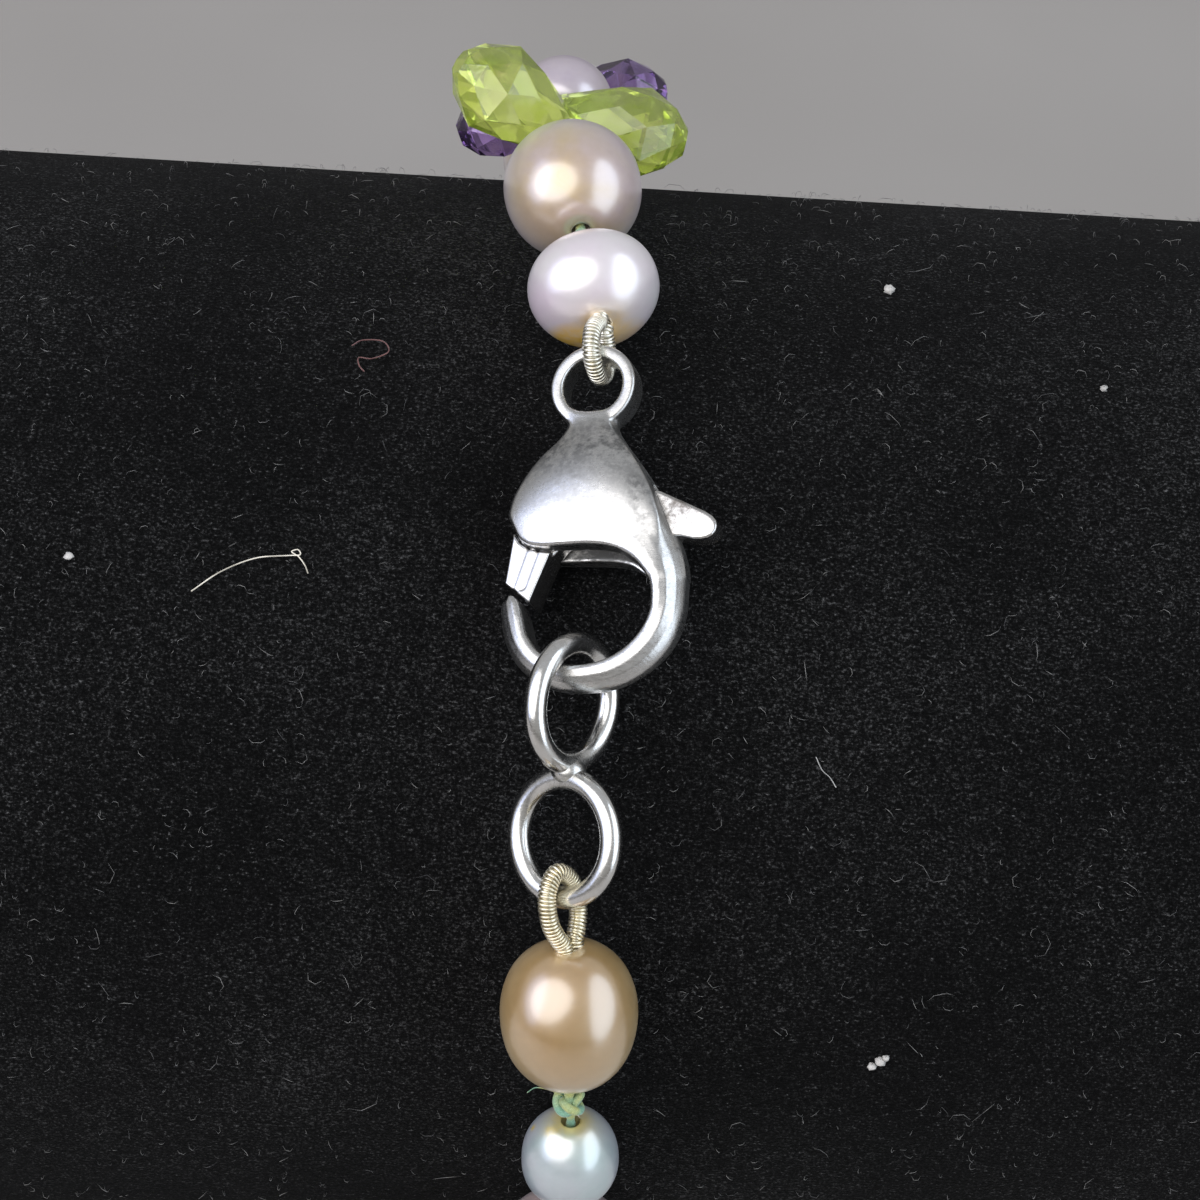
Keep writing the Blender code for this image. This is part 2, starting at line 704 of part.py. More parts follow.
def build_coils(beads):
    """The lower loop joins the big pearl to the link, the upper one the white pearl to the eye."""
    wire = material("coil_lower", (0.72, 0.64, 0.46), 0.35, 1.0)
    _, centre, way = beads[0]
    pearl_face = centre - way * PEARL_SIZES["pearl_big"][0]
    lengthwise = along(LINK_JOIN_ANGLE)
    rim = LOWER_CENTRE - lengthwise * LINK_RADIUS
    towards = unit(pearl_face - rim)
    inner = rim - towards * (LINK_WIRE + COIL_GAP + COIL_RADIUS)
    foot = pearl_face - towards * (COIL_GAP + COIL_RADIUS)
    middle = (inner + foot) / 2
    lateral = link_axes(LOWER_TURN, 1.0)
    wide = unit(np.cross(lateral, towards))
    half_long = np.linalg.norm(inner - foot) / 2
    coil_loop("wire_loop_lower", middle, towards, wide, half_long, LOWER_HALF_WIDE, wire)

    wire = material("coil_upper", (0.74, 0.70, 0.60), 0.35, 1.0)
    _, centre, way = beads[-1]
    pearl_face = centre + way * PEARL_SIZES["pearl_white"][0]
    rim = CLASP_ORIGIN + CLASP_V * RING_RADIUS
    towards = unit(pearl_face - rim)
    inner = rim - towards * (RING_HALF_WALL + COIL_GAP + COIL_RADIUS)
    foot = pearl_face - towards * (COIL_GAP + COIL_RADIUS)
    middle = (inner + foot) / 2
    wide = unit(CLASP_W - towards * (CLASP_W @ towards))
    half_long = np.linalg.norm(inner - foot) / 2
    coil_loop("wire_loop_upper", middle, towards, wide, half_long, UPPER_HALF_WIDE, wire)


clear_scene()
build_stand()
build_clasp()
build_link()
build_coils(build_strand())
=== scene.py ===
"""Looks of a knotted pearl bracelet with a sprung clasp, lying over a velvet display bar.

Lengths here are millimetres until add_piece stores them in metres. X runs along the bar, Z is
up and the clasp faces -Y. An angle on the bar counts from its front over the top.
"""

import math

import bpy
import numpy as np
from mathutils import Matrix


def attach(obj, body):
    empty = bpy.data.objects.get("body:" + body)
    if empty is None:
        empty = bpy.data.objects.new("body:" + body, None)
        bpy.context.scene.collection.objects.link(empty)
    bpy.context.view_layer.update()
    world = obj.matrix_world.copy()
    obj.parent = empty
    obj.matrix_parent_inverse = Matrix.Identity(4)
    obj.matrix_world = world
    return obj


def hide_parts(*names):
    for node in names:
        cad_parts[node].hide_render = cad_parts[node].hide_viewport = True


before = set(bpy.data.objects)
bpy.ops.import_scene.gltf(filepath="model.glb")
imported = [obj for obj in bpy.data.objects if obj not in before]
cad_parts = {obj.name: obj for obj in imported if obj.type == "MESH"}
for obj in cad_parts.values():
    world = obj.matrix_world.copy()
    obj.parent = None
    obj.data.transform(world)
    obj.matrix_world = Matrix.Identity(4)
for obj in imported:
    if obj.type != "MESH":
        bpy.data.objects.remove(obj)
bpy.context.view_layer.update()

# Display stand. A roll of card under black velvet lies across a short post in a round foot,
# all three covered in the same cloth. The cloth is wrapped round the roll and glued down
# along its underside, and a covered disc closes each end.
MM = 0.001
AXIS_HEIGHT = 72.0
BAR_RADIUS = 26.0
BAR_HALF = 68.0
BAR_EASE = 2.5
BAR_SIDES = 224
SEAM_ANGLE = 1.35 * math.pi
SEAM_WIDTH = 0.022
SEAM_DEPTH = 0.35
# Radius and depth below the rim's plane, from the disc's middle to the bar's edge.
END_DISC = ((0.4, 0.25), (8.0, 0.2), (16.0, 0.35), (21.0, 0.8), (22.3, 1.5), (22.9, 1.3))
POST_RADIUS = 7.0
POST_FOOT = 3.0
BASE_RADIUS = 40.0
BASE_HEIGHT = 9.0
BASE_EASE = 1.5
SOCKET_FLOOR = 6.0
SOCKET_RIM = ((12.0, 9.0), (8.4, 8.95), (7.7, 8.5), (7.3, SOCKET_FLOOR))
POST_SUNK = 2.5
# Turned profiles stop this far from their axis and are capped flat.
POLE_RADIUS = 0.3
STRAND_X = 34.0
STAND = "bracelet_and_stand"
WORLD_AXES = np.eye(3)
BAR_AXES = np.array([[0.0, 1.0, 0.0], [0.0, 0.0, 1.0], [1.0, 0.0, 0.0]])


def add_node(tree, kind, sockets=None, **settings):
    """One shader node, with its sockets set to values or joined to other nodes' outputs."""
    made = tree.nodes.new("ShaderNode" + kind)
    for name, value in settings.items():
        setattr(made, name, value)
    for name, value in (sockets or {}).items():
        if isinstance(value, bpy.types.NodeSocket):
            tree.links.new(value, made.inputs[name])
        else:
            made.inputs[name].default_value = value
    return made


def unit(vectors):
    """Vectors scaled to a length of one."""
    return vectors / np.linalg.norm(vectors, axis=-1, keepdims=True)


def circle(count):
    """Angles evenly spaced round a full turn."""
    return np.arange(count) * 2 * math.pi / count


def new_material(name, **settings):
    """An empty finish: its node tree, its shader and object coordinates in millimetres."""
    made = bpy.data.materials.new(name)
    made.use_nodes = True
    tree = made.node_tree
    shader = tree.nodes["Principled BSDF"]
    for socket, value in settings.items():
        shader.inputs[socket.replace("_", " ")].default_value = value
    place = add_node(tree, "TexCoord").outputs["Object"]
    place = add_node(tree, "Mapping", {"Vector": place, "Scale": (1 / MM,) * 3})
    return made, tree, shader, place.outputs[0]


def link(tree, shader, **outputs):
    """Joins other nodes' outputs to the shader's sockets of those names."""
    for socket, output in outputs.items():
        tree.links.new(output, shader.inputs[socket.replace("_", " ")])


def noise(tree, place, scale, detail=2.0, rough=0.5, twist=0.0, stretch=None):
    """A cloudy field from 0 to 1, with its scale in waves to the millimetre."""
    if stretch:
        place = add_node(tree, "Mapping", {"Vector": place, **stretch}).outputs[0]
    sockets = {"Vector": place, "Scale": scale, "Detail": detail, "Roughness": rough}
    sockets["Distortion"] = twist
    return add_node(tree, "TexNoise", sockets).outputs[0]


def ramp(tree, value, stops):
    """A colour for each place from 0 to 1, blended between the stops."""
    made = add_node(tree, "ValToRGB", {"Fac": value})
    bands = made.color_ramp.elements
    while len(bands) < len(stops):
        bands.new(0.5)
    for band, (where, colour) in zip(bands, stops):
        band.position = where
        colour = (colour,) * 3 if np.isscalar(colour) else colour
        band.color = (*colour, 1.0)
    return made.outputs[0]


def mix(tree, share, first, second, kind="MIX"):
    """The second colour laid on the first by a share."""
    made = add_node(tree, "Mix", data_type="RGBA", blend_type=kind)
    for socket, value in ((0, share), (6, first), (7, second)):
        if isinstance(value, bpy.types.NodeSocket):
            tree.links.new(value, made.inputs[socket])
        elif socket:
            made.inputs[socket].default_value = (*value, 1.0)
        else:
            made.inputs[socket].default_value = value
    return made.outputs[2]


def maths(tree, operation, first, second):
    """One sum, product or other step on numbers."""
    made = add_node(tree, "Math", operation=operation)
    for socket, value in enumerate((first, second)):
        if isinstance(value, bpy.types.NodeSocket):
            tree.links.new(value, made.inputs[socket])
        else:
            made.inputs[socket].default_value = value
    return made.outputs[0]


def plus(tree, first, second):
    return maths(tree, "ADD", first, second)


def times(tree, first, second):
    return maths(tree, "MULTIPLY", first, second)


def bump(tree, height, depth, strength=1.0):
    """Relief of a depth in millimetres."""
    sockets = {"Height": height, "Distance": depth * MM, "Strength": strength}
    return add_node(tree, "Bump", sockets).outputs[0]


def grid_faces(rows, columns, close_rows, close_columns):
    """Quads between neighbours of a grid; a closed direction joins its last line to the first."""
    row = np.arange(rows if close_rows else rows - 1)[:, None]
    column = np.arange(columns if close_columns else columns - 1)[None, :]
    below, beside = (row + 1) % rows, (column + 1) % columns
    corners = (
        row * columns + column, row * columns + beside,
        below * columns + beside, below * columns + column,
    )
    return np.stack(np.broadcast_arrays(*corners), axis=-1).reshape(-1, 4)


def six_volumes(points, faces):
    """Six times the volume: triple products over each face's fan from its first corner."""
    total = 0.0
    for k in range(1, faces.shape[1] - 1):
        a, b, c = points[faces[:, 0]], points[faces[:, k]], points[faces[:, k + 1]]
        total += np.einsum("ij,ij->", a, np.cross(b, c))
    return total


def add_piece(name, shells, mat, nodes=(), body=STAND, values=None):
    """One smooth mesh of closed shells, each (points, faces, caps), turned outwards, on a body."""
    points, faces, count = [], [], 0
    for places, quads, caps in shells:
        groups = [quads] + ([caps] if len(caps) else [])
        inside_out = sum(six_volumes(places, group) for group in groups) < 0
        for group in groups:
            group = group[:, ::-1] if inside_out else group
            faces += (group + count).tolist()
        points.append(places)
        count += len(places)
    mesh = bpy.data.meshes.new(name)
    mesh.from_pydata((np.concatenate(points) * MM).tolist(), [], faces)
    mesh.polygons.foreach_set("use_smooth", np.ones(len(mesh.polygons), bool))
    for key, numbers in (values or {}).items():
        numbers = np.asarray(numbers, np.float32)
        mesh.attributes.new(key, "FLOAT", "POINT").data.foreach_set("value", numbers)
    mesh.materials.append(mat)
    piece = bpy.data.objects.new(name, mesh)
    bpy.context.scene.collection.objects.link(piece)
    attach(piece, body)
    if nodes:
        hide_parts(*nodes)
    return piece


def lathe(profile, sides, origin, axes, swell=0.0):
    """A profile of (radius, height) turned about the third axis, with its ends capped.

    swell is added to the radius at each (height row, side).
    """
    profile = np.asarray(profile, float)
    turn = circle(sides)
    radius = profile[:, :1] + swell
    local = np.stack(
        np.broadcast_arrays(radius * np.cos(turn), radius * np.sin(turn), profile[:, 1:]), axis=-1
    )
    points = np.asarray(origin) + local.reshape(-1, 3) @ axes
    ends = np.stack([np.arange(sides), (len(profile) - 1) * sides + np.arange(sides)])
    ends[0] = ends[0][::-1]
    return points, grid_faces(len(profile), sides, False, True), ends


def rounded(radius, low, high, edge, steps=7):
    """Half a profile's two eased rims: quarter circles at both ends of a straight side."""
    turn = np.linspace(0, math.pi / 2, steps)
    rim = np.stack([radius - edge + edge * np.sin(turn), edge * (1 - np.cos(turn))], axis=1)
    top = rim[::-1] * (1, -1) + (0, high)
    return np.concatenate([rim + (0, low), top])


def velvet(name):
    """Black velvet: a dense short nap that drinks light, with paler tips, painted glints, broad
    painted shading of the pile and a soft sheen.
    """
    made, tree, shader, place = new_material(
        name, Roughness=0.95, Sheen_Weight=0.015, Sheen_Roughness=0.5, Specular_IOR_Level=0.05
    )
    tips = noise(tree, place, 7.5, 3.0, 0.75)
    clumps = noise(tree, place, 1.6, 3.0, 0.6)
    # Broad patches of the nap made lighter or darker: painted shading of pile that lies different
    # ways.
    pile_shading = noise(tree, place, 0.09, 2.0, 0.5)
    lean = {"Scale": (0.35, 1.0, 1.0), "Rotation": (0.3, 0.5, 0.8)}
    strands = noise(tree, place, 11.0, 2.0, 0.6, stretch=lean)
    uneven = plus(tree, times(tree, clumps, 0.35), 0.32)
    light = times(tree, tips, plus(tree, uneven, strands))
    light = times(tree, light, plus(tree, times(tree, pile_shading, 0.4), 0.85))
    colour = ramp(tree, light, ((0.30, 0.0013), (0.50, 0.0036), (0.62, 0.0105), (0.76, 0.05)))
    # Painted glints: the brightest tips and strands get paler specks added to the colour.
    glint = ramp(tree, times(tree, tips, strands), ((0.40, 0.0), (0.52, 0.12)))
    colour = mix(tree, 1.0, colour, glint, "ADD")
    relief = plus(tree, tips, times(tree, strands, 0.6))
    link(tree, shader, Base_Color=colour, Normal=bump(tree, relief, 0.12, 0.8))
    return made


def bar_point(angle, distance, x=STRAND_X):
    """A point at an angle round the bar and a distance from its axis."""
    turn = np.radians(angle)
    parts = (x + 0 * turn, -distance * np.cos(turn), AXIS_HEIGHT + distance * np.sin(turn))
    return np.stack(np.broadcast_arrays(*parts), axis=-1)


rim = rounded(BAR_RADIUS, -BAR_HALF, BAR_HALF, BAR_EASE)
lower_end = np.array([(r, -BAR_HALF + sunk) for r, sunk in END_DISC])
profile = np.concatenate([lower_end, rim, lower_end[::-1] * (1, -1)])
seam = -SEAM_DEPTH * np.exp(-(((circle(BAR_SIDES) - SEAM_ANGLE) / SEAM_WIDTH) ** 2))
on_side = (profile[:, 0] > BAR_RADIUS - 0.1)[:, None]
add_piece(
    "bar_velvet", [lathe(profile, BAR_SIDES, (0, 0, AXIS_HEIGHT), BAR_AXES, seam * on_side)],
    velvet("velvet_roll"), ["display_bar"],
)
post_top = AXIS_HEIGHT - BAR_RADIUS + POST_SUNK
post = rounded(POST_RADIUS, POST_FOOT, post_top, 0.1, 3)
post = np.concatenate([[(POLE_RADIUS, POST_FOOT)], post, [(POLE_RADIUS, post_top)]])
add_piece(
    "post_velvet_sleeve", [lathe(post, 96, (0, 0, 0), WORLD_AXES)],
    velvet("velvet_post"), ["display_post"],
)
foot = rounded(BASE_RADIUS, 0.0, BASE_HEIGHT, BASE_EASE)
foot = np.concatenate([[(POLE_RADIUS, 0.0)], foot, SOCKET_RIM, [(POLE_RADIUS, SOCKET_FLOOR)]])
add_piece(
    "base_velvet_cover", [lathe(foot, 160, (0, 0, 0), WORLD_AXES)],
    velvet("velvet_base"), ["display_base"],
)

# Loose fibres. Cut ends of the nap and fine lint lie on the velvet in all directions, most
# under a millimetre long. They are pale threads a few hundredths of a millimetre thick,
# held by the nap alone. One long curled hair and a reddish one lie to the clasp's left.
FIBRE_RADIUS = 0.0125
FIBRE_TAPER = np.array([0.25, 0.8, 1.0, 0.8, 0.25])
FIBRE_SIDES = 3
FIBRE_SHORTEST = 0.14
BAR_FIBRES = 7400
BASE_FIBRES = 1600


def fibres(starts, bends, ends):
    """Three-sided threads through three points each, thinner towards their ends."""
    arch = (bends - (starts + ends) / 2) / 2
    path = np.stack([starts, (starts + bends) / 2 + arch, bends, (ends + bends) / 2 + arch, ends],
                    axis=1)
    way = unit(np.gradient(path, axis=1))
    side = unit(np.cross(way, (0.37, 0.71, 0.6)))
    lift = np.cross(side, way)
    turn = circle(FIBRE_SIDES)
    taper = FIBRE_TAPER[None, :, None, None] * FIBRE_RADIUS
    ring = np.cos(turn)[:, None] * side[:, :, None] + np.sin(turn)[:, None] * lift[:, :, None]
    points = (path[:, :, None] + taper * ring).reshape(-1, 3)
    one = grid_faces(len(FIBRE_TAPER), FIBRE_SIDES, False, True)
    count = np.arange(len(starts))[:, None, None] * len(FIBRE_TAPER) * FIBRE_SIDES
    caps = np.array([(2, 1, 0), (12, 13, 14)])
    return points, (one + count).reshape(-1, 4), (caps + count).reshape(-1, 3)


def strewn(draw, count, surface, normal):
    """Fibres of random lengths and headings on a surface, arched a little off it."""
    long = FIBRE_SHORTEST + draw.gamma(1.5, 0.16, (count, 1))
    heading = draw.normal(size=(count, 3))
    heading = unit(heading - normal * np.einsum("ij,ij->i", heading, normal)[:, None])
    across = np.cross(normal, heading)
    starts = surface + normal * draw.uniform(0.0, 0.12, (count, 1)) - heading * long / 2
    ends = surface + normal * draw.uniform(0.0, 0.2, (count, 1)) + heading * long / 2
    bends = surface + normal * draw.uniform(0.1, 0.3, (count, 1))
    bends += across * draw.normal(0.0, 0.22, (count, 1)) * long
    return fibres(starts, bends, ends)


def fibre_material(name, low, high):
    """A pale thread whose tint changes from one to the next."""
    made, tree, shader, place = new_material(name, Roughness=0.5, Sheen_Weight=0.3)
    tint = ramp(tree, noise(tree, place, 1.3, 1.0), ((0.35, low), (0.65, high)))
    link(tree, shader, Base_Color=tint)
    return made


draw = np.random.default_rng(7)
angle = draw.uniform(0, 360, BAR_FIBRES)
at_x = draw.uniform(-BAR_HALF + 2, BAR_HALF - 2, BAR_FIBRES)
surface = bar_point(angle, BAR_RADIUS, at_x)
normal = bar_point(angle, 1.0, 0.0) - (0, 0, AXIS_HEIGHT)
pale = fibre_material("pale_fibre", (0.03, 0.03, 0.032), (0.27, 0.265, 0.25))
add_piece("bar_lint", [strewn(draw, BAR_FIBRES, surface, normal)], pale)

reach = np.sqrt(draw.uniform(9.0**2, (BASE_RADIUS - BASE_EASE) ** 2, BASE_FIBRES))
angle = draw.uniform(0, 2 * math.pi, BASE_FIBRES)
surface = np.stack([reach * np.cos(angle), reach * np.sin(angle), 0 * reach + BASE_HEIGHT], axis=1)
upright = np.broadcast_to((0.0, 0.0, 1.0), surface.shape)
add_piece("base_lint", [strewn(draw, BASE_FIBRES, surface, upright)], pale)


def smooth_path(points, count):
    """Points evenly spaced by number along a Catmull-Rom curve through the given ones."""
    points = np.asarray(points, float)
    before, after = 2 * points[:1] - points[1:2], 2 * points[-1:] - points[-2:-1]
    points = np.concatenate([before, points, after])
    spans = len(points) - 3
    at = np.linspace(0, spans, count)
    span = np.minimum(at.astype(int), spans - 1)
    t = (at - span)[:, None]
    a, b, c, d = (points[span + k] for k in range(4))
    curve = (c - a) * t + (2 * a - 5 * b + 4 * c - d) * t**2 + (3 * b - a - 3 * c + d) * t**3
    return b + 0.5 * curve


def sweep(path, ups, radius, sides, closed=False):
    """A round tube: at each point of a path a ring square to it, of a radius by point and side.

    ups are directions off the path, one for each point or one for all.
    """
    path = np.asarray(path, float)
    if closed:
        way = np.roll(path, -1, axis=0) - np.roll(path, 1, axis=0)
    else:
        way = np.gradient(path, axis=0)
    way = unit(way)
    side = unit(np.cross(way, ups))
    lift = np.cross(side, way)
    turn = circle(sides)
    ring = np.cos(turn)[:, None] * side[:, None] + np.sin(turn)[:, None] * lift[:, None]
    radius = np.broadcast_to(radius, (len(path), sides))
    points = (path[:, None] + radius[..., None] * ring).reshape(-1, 3)
    caps = np.zeros((0, sides), int)
    if not closed:
        caps = np.stack([np.arange(sides)[::-1], (len(path) - 1) * sides + np.arange(sides)])
    return points, grid_faces(len(path), sides, closed, True), caps


HAIR = (
    (-16.99, 54.4), (-15.75, 56.5), (-14.3, 58.0), (-12.9, 58.45), (-12.35, 58.6),
    (-12.45, 59.1), (-12.72, 58.85), (-12.4, 58.4), (-12.1, 57.6), (-11.93, 56.8),
)
RED_HAIR = (
    (-10.87, 82.1), (-10.4, 82.9), (-9.5, 82.9), (-9.2, 81.6), (-9.9, 80.6), (-10.5, 80.6),
    (-10.45, 79.6), (-10.2, 78.9),
)
LONG_FIBRE = ((10.78, 42.1), (11.08, 40.9), (11.45, 40.2), (11.74, 39.3))
HAIR_LIFT = 0.32
for name, spots, thick, low, high in (
    ("long_fibre", LONG_FIBRE, 0.02, (0.3, 0.3, 0.29), (0.5, 0.5, 0.48)),
    ("curled_hair", HAIR, 0.03, (0.45, 0.42, 0.34), (0.85, 0.8, 0.68)),
    ("red_hair", RED_HAIR, 0.03, (0.09, 0.03, 0.03), (0.2, 0.08, 0.07)),
):
    spots = np.array(spots)
    path = bar_point(spots[:, 1], BAR_RADIUS + HAIR_LIFT, spots[:, 0] + STRAND_X)
    path = smooth_path(path, 90)
    add_piece(name, [sweep(path, path - (0, 0, AXIS_HEIGHT), thick, 6)],
              fibre_material(name + "_tint", low, high))

DUST = (
    (-22.5, 57.2, 0.2), (13.45, 96.0, 0.26), (14.69, 10.5, 0.24), (14.35, 9.8, 0.2),
    (14.94, 10.9, 0.16), (23.1, 82.8, 0.17),
)
GRAIN_ROWS = np.linspace(0.15, math.pi - 0.15, 7)
GRAIN_SIDES = 9
shells = []
for x, angle, size in DUST:
    profile = np.stack([size * np.sin(GRAIN_ROWS), -size * 0.7 * np.cos(GRAIN_ROWS)], axis=1)
    lumps = draw.normal(0, 0.16 * size, (len(GRAIN_ROWS), GRAIN_SIDES))
    middle = bar_point(angle, BAR_RADIUS + 0.1, x + STRAND_X)
    shells.append(lathe(profile, GRAIN_SIDES, middle, WORLD_AXES, lumps))
add_piece("dust_grains", shells, fibre_material("dust", (0.35, 0.34, 0.32), (0.6, 0.58, 0.55)))

# Pearls. Nineteen freshwater pearls of five sorts, grown slightly uneven, drilled through and
# strung. Nacre is a stack of thin clear layers: a soft body colour, a sharp gleam over it, and
# overtones of pink and green that change with the angle. The colour towards each pearl's edge
# is partly that change and partly painted light, a lighter rim for most sorts. Stains gather
# round some holes.
# Half length and radius of each sort.
PEARL_SORTS = {
    "big": (3.5, 3.05), "small": (2.5, 2.18), "lilac": (2.3, 2.35), "mauve": (3.1, 3.15),
    "white": (2.3, 2.95),
}
PEARL_ORDER = ("big",) + 4 * ("small", "mauve", "white", "lilac") + ("mauve", "white")
# Face-on body colour, edge colour and overtone of each sort. The edge colour is partly the
# nacre's own change with angle and partly painted rim light, lighter than the face for most sorts.
NACRE = {
    "big": ((0.36, 0.205, 0.035), (0.64, 0.48, 0.29), (0.41, 0.265, 0.085)),
    "small": ((0.46, 0.56, 0.54), (0.42, 0.50, 0.56), (0.54, 0.50, 0.60)),
    "lilac": ((0.58, 0.49, 0.51), (0.60, 0.52, 0.56), (0.56, 0.47, 0.60)),
    "mauve": ((0.47, 0.31, 0.10), (0.70, 0.60, 0.54), (0.54, 0.44, 0.48)),
    "white": ((0.78, 0.74, 0.75), (0.84, 0.82, 0.84), (0.80, 0.70, 0.74)),
}
PEARL_BORE = 0.43
PEARL_ROWS = 72
PEARL_SIDES = 112
BORE_ROWS = 8
BORE_DIMPLE = 0.10
# The power of the pearls' outline, where 2 would be an ellipse.
SQUARENESS = 2.12


def corners(node):
    """The separate corner points of a CAD node, in millimetres."""
    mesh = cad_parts[node].data
    places = np.empty(len(mesh.vertices) * 3)
    mesh.vertices.foreach_get("co", places)
    return np.unique(np.round(places.reshape(-1, 3) / MM, 4), axis=0)


def long_axis(places):
    """The middle of a set of points and the direction in which they spread most."""
    middle = (places.min(axis=0) + places.max(axis=0)) / 2
    spread = places - places.mean(axis=0)
    return middle, np.linalg.eigh(spread.T @ spread)[1][:, -1]


def follow(way, place):
    """A direction turned to run down the bar's front, as the strand is numbered."""
    round_bar = np.cross((1.0, 0.0, 0.0), place - (place[0], 0.0, AXIS_HEIGHT))
    return way if way @ round_bar > 0 else -way


def out_from_bar(place, way):
    """The direction away from the bar's axis, square to a way along the strand."""
    out = place - (place[0], 0.0, AXIS_HEIGHT)
    return unit(out - way * (out @ way))


def pearl_shell(draw, half, radius, centre, axes, egg):
    """An ellipsoid of a slightly squarer curve, with a few low waves, bored along its length.

    Rows run from one rim of the bore over the outside to the other rim and back inside.
    Returned are the shell and its points as measured from the pearl's middle on its axes.
    """
    start = math.asin((PEARL_BORE / radius) ** (SQUARENESS / 2))
    latitude = np.linspace(start, math.pi - start, PEARL_ROWS)[:, None]
    turn = circle(PEARL_SIDES)
    across = radius * np.sin(latitude) ** (2 / SQUARENESS)
    end = np.sign(np.cos(latitude))
    high = half * end * np.abs(np.cos(latitude)) ** (2 / SQUARENESS)
    away = np.sin(latitude) ** 0.5
    wave = sum(
        draw.normal(0, 0.0035)
        * np.cos(order * turn + draw.uniform(0, 6.28) + draw.normal(0, 1) * high)
        for order in (1, 2, 3, 4)
    )
    ringed = 0.0016 * np.sin(high * draw.uniform(2.2, 3.4) + draw.uniform(0, 6.28))
    across = across * (1 + away * (wave + ringed + egg * np.cos(latitude)))
    from_bore = np.sin(latitude) * radius - PEARL_BORE
    high = high - BORE_DIMPLE * np.exp(-((from_bore / 0.35) ** 2)) * end
    inside = np.linspace(high[-1, 0] + 0.05, high[0, 0] - 0.05, BORE_ROWS)[:, None]
    across = np.concatenate([across, np.full((BORE_ROWS, PEARL_SIDES), PEARL_BORE)])
    high = np.broadcast_to(np.concatenate([high, inside]), across.shape)
    local = np.stack([across * np.cos(turn), across * np.sin(turn), high], axis=-1).reshape(-1, 3)
    faces = grid_faces(PEARL_ROWS + BORE_ROWS, PEARL_SIDES, True, True)
    return (centre + local @ axes, faces, np.zeros((0, 3), int)), local


def nacre(name, colours, stain_colour, seed):
    """Nacre: a body colour that changes towards the edge, partly painted rim light, cloudy
    overtones, stained holes.
    """
    face, edge, overtone = colours
    made, tree, shader, place = new_material(
        name, Metallic=0.2, IOR=1.6, Coat_Weight=1.0, Coat_Roughness=0.24, Coat_IOR=3.0,
    )
    shift = {"Location": (seed * 3.7, seed * 1.9, seed * 0.7)}
    facing = add_node(tree, "LayerWeight", {"Blend": 0.38}).outputs["Facing"]
    clouds = noise(tree, place, 0.28, 3.0, 0.5, 0.4, stretch=shift)
    # The blend from face to edge paints a rim of light over the nacre's own change with angle.
    body = mix(tree, ramp(tree, facing, ((0.10, 0.0), (0.72, 1.0))), face, edge)
    share = times(tree, ramp(tree, clouds, ((0.36, 0.0), (0.66, 1.0))), 0.75)
    body = mix(tree, share, body, overtone)
    grain = noise(tree, place, 2.6, 4.0, 0.6, stretch=shift)
    body = mix(tree, 0.22, body, ramp(tree, grain, ((0.3, 0.42), (0.7, 0.58))), "OVERLAY")
    stain = add_node(tree, "Attribute", attribute_name="stain").outputs["Fac"]
    patches = ramp(tree, noise(tree, place, 1.1, 4.0, 0.6), ((0.3, 0.5), (0.55, 1.0)))
    body = mix(tree, times(tree, stain, patches), body, stain_colour)
    rough = ramp(tree, grain, ((0.3, 0.34), (0.75, 0.46)))
    swell = noise(tree, place, 1.1, 2.0, stretch=shift)
    link(tree, shader, Base_Color=body, Roughness=rough, Normal=bump(tree, swell, 0.012, 0.5))
    return made


# How strong the stain is round the hole towards the bead before, then towards the next one;
# the stain's tint; and how egg-shaped the pearl is.
PEARL_TRAITS = {
    "pearl_01": (0.0, 0.0, (0.45, 0.26, 0.2), -0.02),
    "pearl_02": (0.95, 0.0, (0.80, 0.60, 0.10), 0.045),
    "pearl_18": (0.0, 0.1, (0.5, 0.4, 0.12), 0.0),
    "pearl_19": (0.0, 1.0, (1.0, 0.62, 0.11), -0.03),
}
STAIN_REACH = 0.95
BIG_PEARL_TILT = 0.24
strand = {}
for number, sort in enumerate(PEARL_ORDER, 1):
    name = f"pearl_{number:02d}"
    half, radius = PEARL_SORTS[sort]
    centre, way = long_axis(corners(name))
    way = follow(way, centre)
    if name == "pearl_01":
        way = unit(way + BIG_PEARL_TILT * out_from_bar(centre, way))
    out = out_from_bar(centre, way)
    draw = np.random.default_rng(100 + number)
    usual = (
        draw.uniform(0, 0.25), draw.uniform(0, 0.25), (0.6, 0.45, 0.2), draw.normal(0, 0.015)
    )
    low_stain, high_stain, tint, egg = PEARL_TRAITS.get(name, usual)
    axes = np.array([np.cross(out, way), out, way])
    shell, local = pearl_shell(draw, half, radius, centre, axes, egg)
    near_hole = np.exp(-((np.hypot(local[:, 0], local[:, 1]) / STAIN_REACH) ** 2))
    stain = near_hole * np.where(local[:, 2] > 0, high_stain, low_stain)
    if name == "pearl_19":
        across, out, high = local.T / ((radius,), (radius,), (half,))
        band = np.clip((0.75 * high - 0.55 * out - 0.60) / 0.16, 0, 1)
        stain = np.maximum(stain, band * np.clip(0.8 - 0.6 * across, 0.3, 1))
    if name == "pearl_02":
        for spot, size in (((-0.36, 0.24, -0.90), 0.11), ((-0.72, -0.06, -0.69), 0.06)):
            stain += np.exp(-2 * (1 - unit(local) @ unit(np.array(spot))) / size**2)
        stain = np.minimum(stain, 1.0)
    colours = [np.clip(np.array(c) * draw.normal(1.0, 0.03, 3), 0, 1) for c in NACRE[sort]]
    mat = nacre(name + "_nacre", colours, tint, number)
    add_piece(name + "_nacre", [shell], mat, [name], values={"stain": stain})
    strand[name] = (centre, way, half)

# Peridots and amethysts. Drop-shaped stones with flat facets all round and a small table at
# the broad end, drilled across near the tip and strung in crossed pairs. They are clear right
# through, so their colour comes from the depth of stone that light passes.


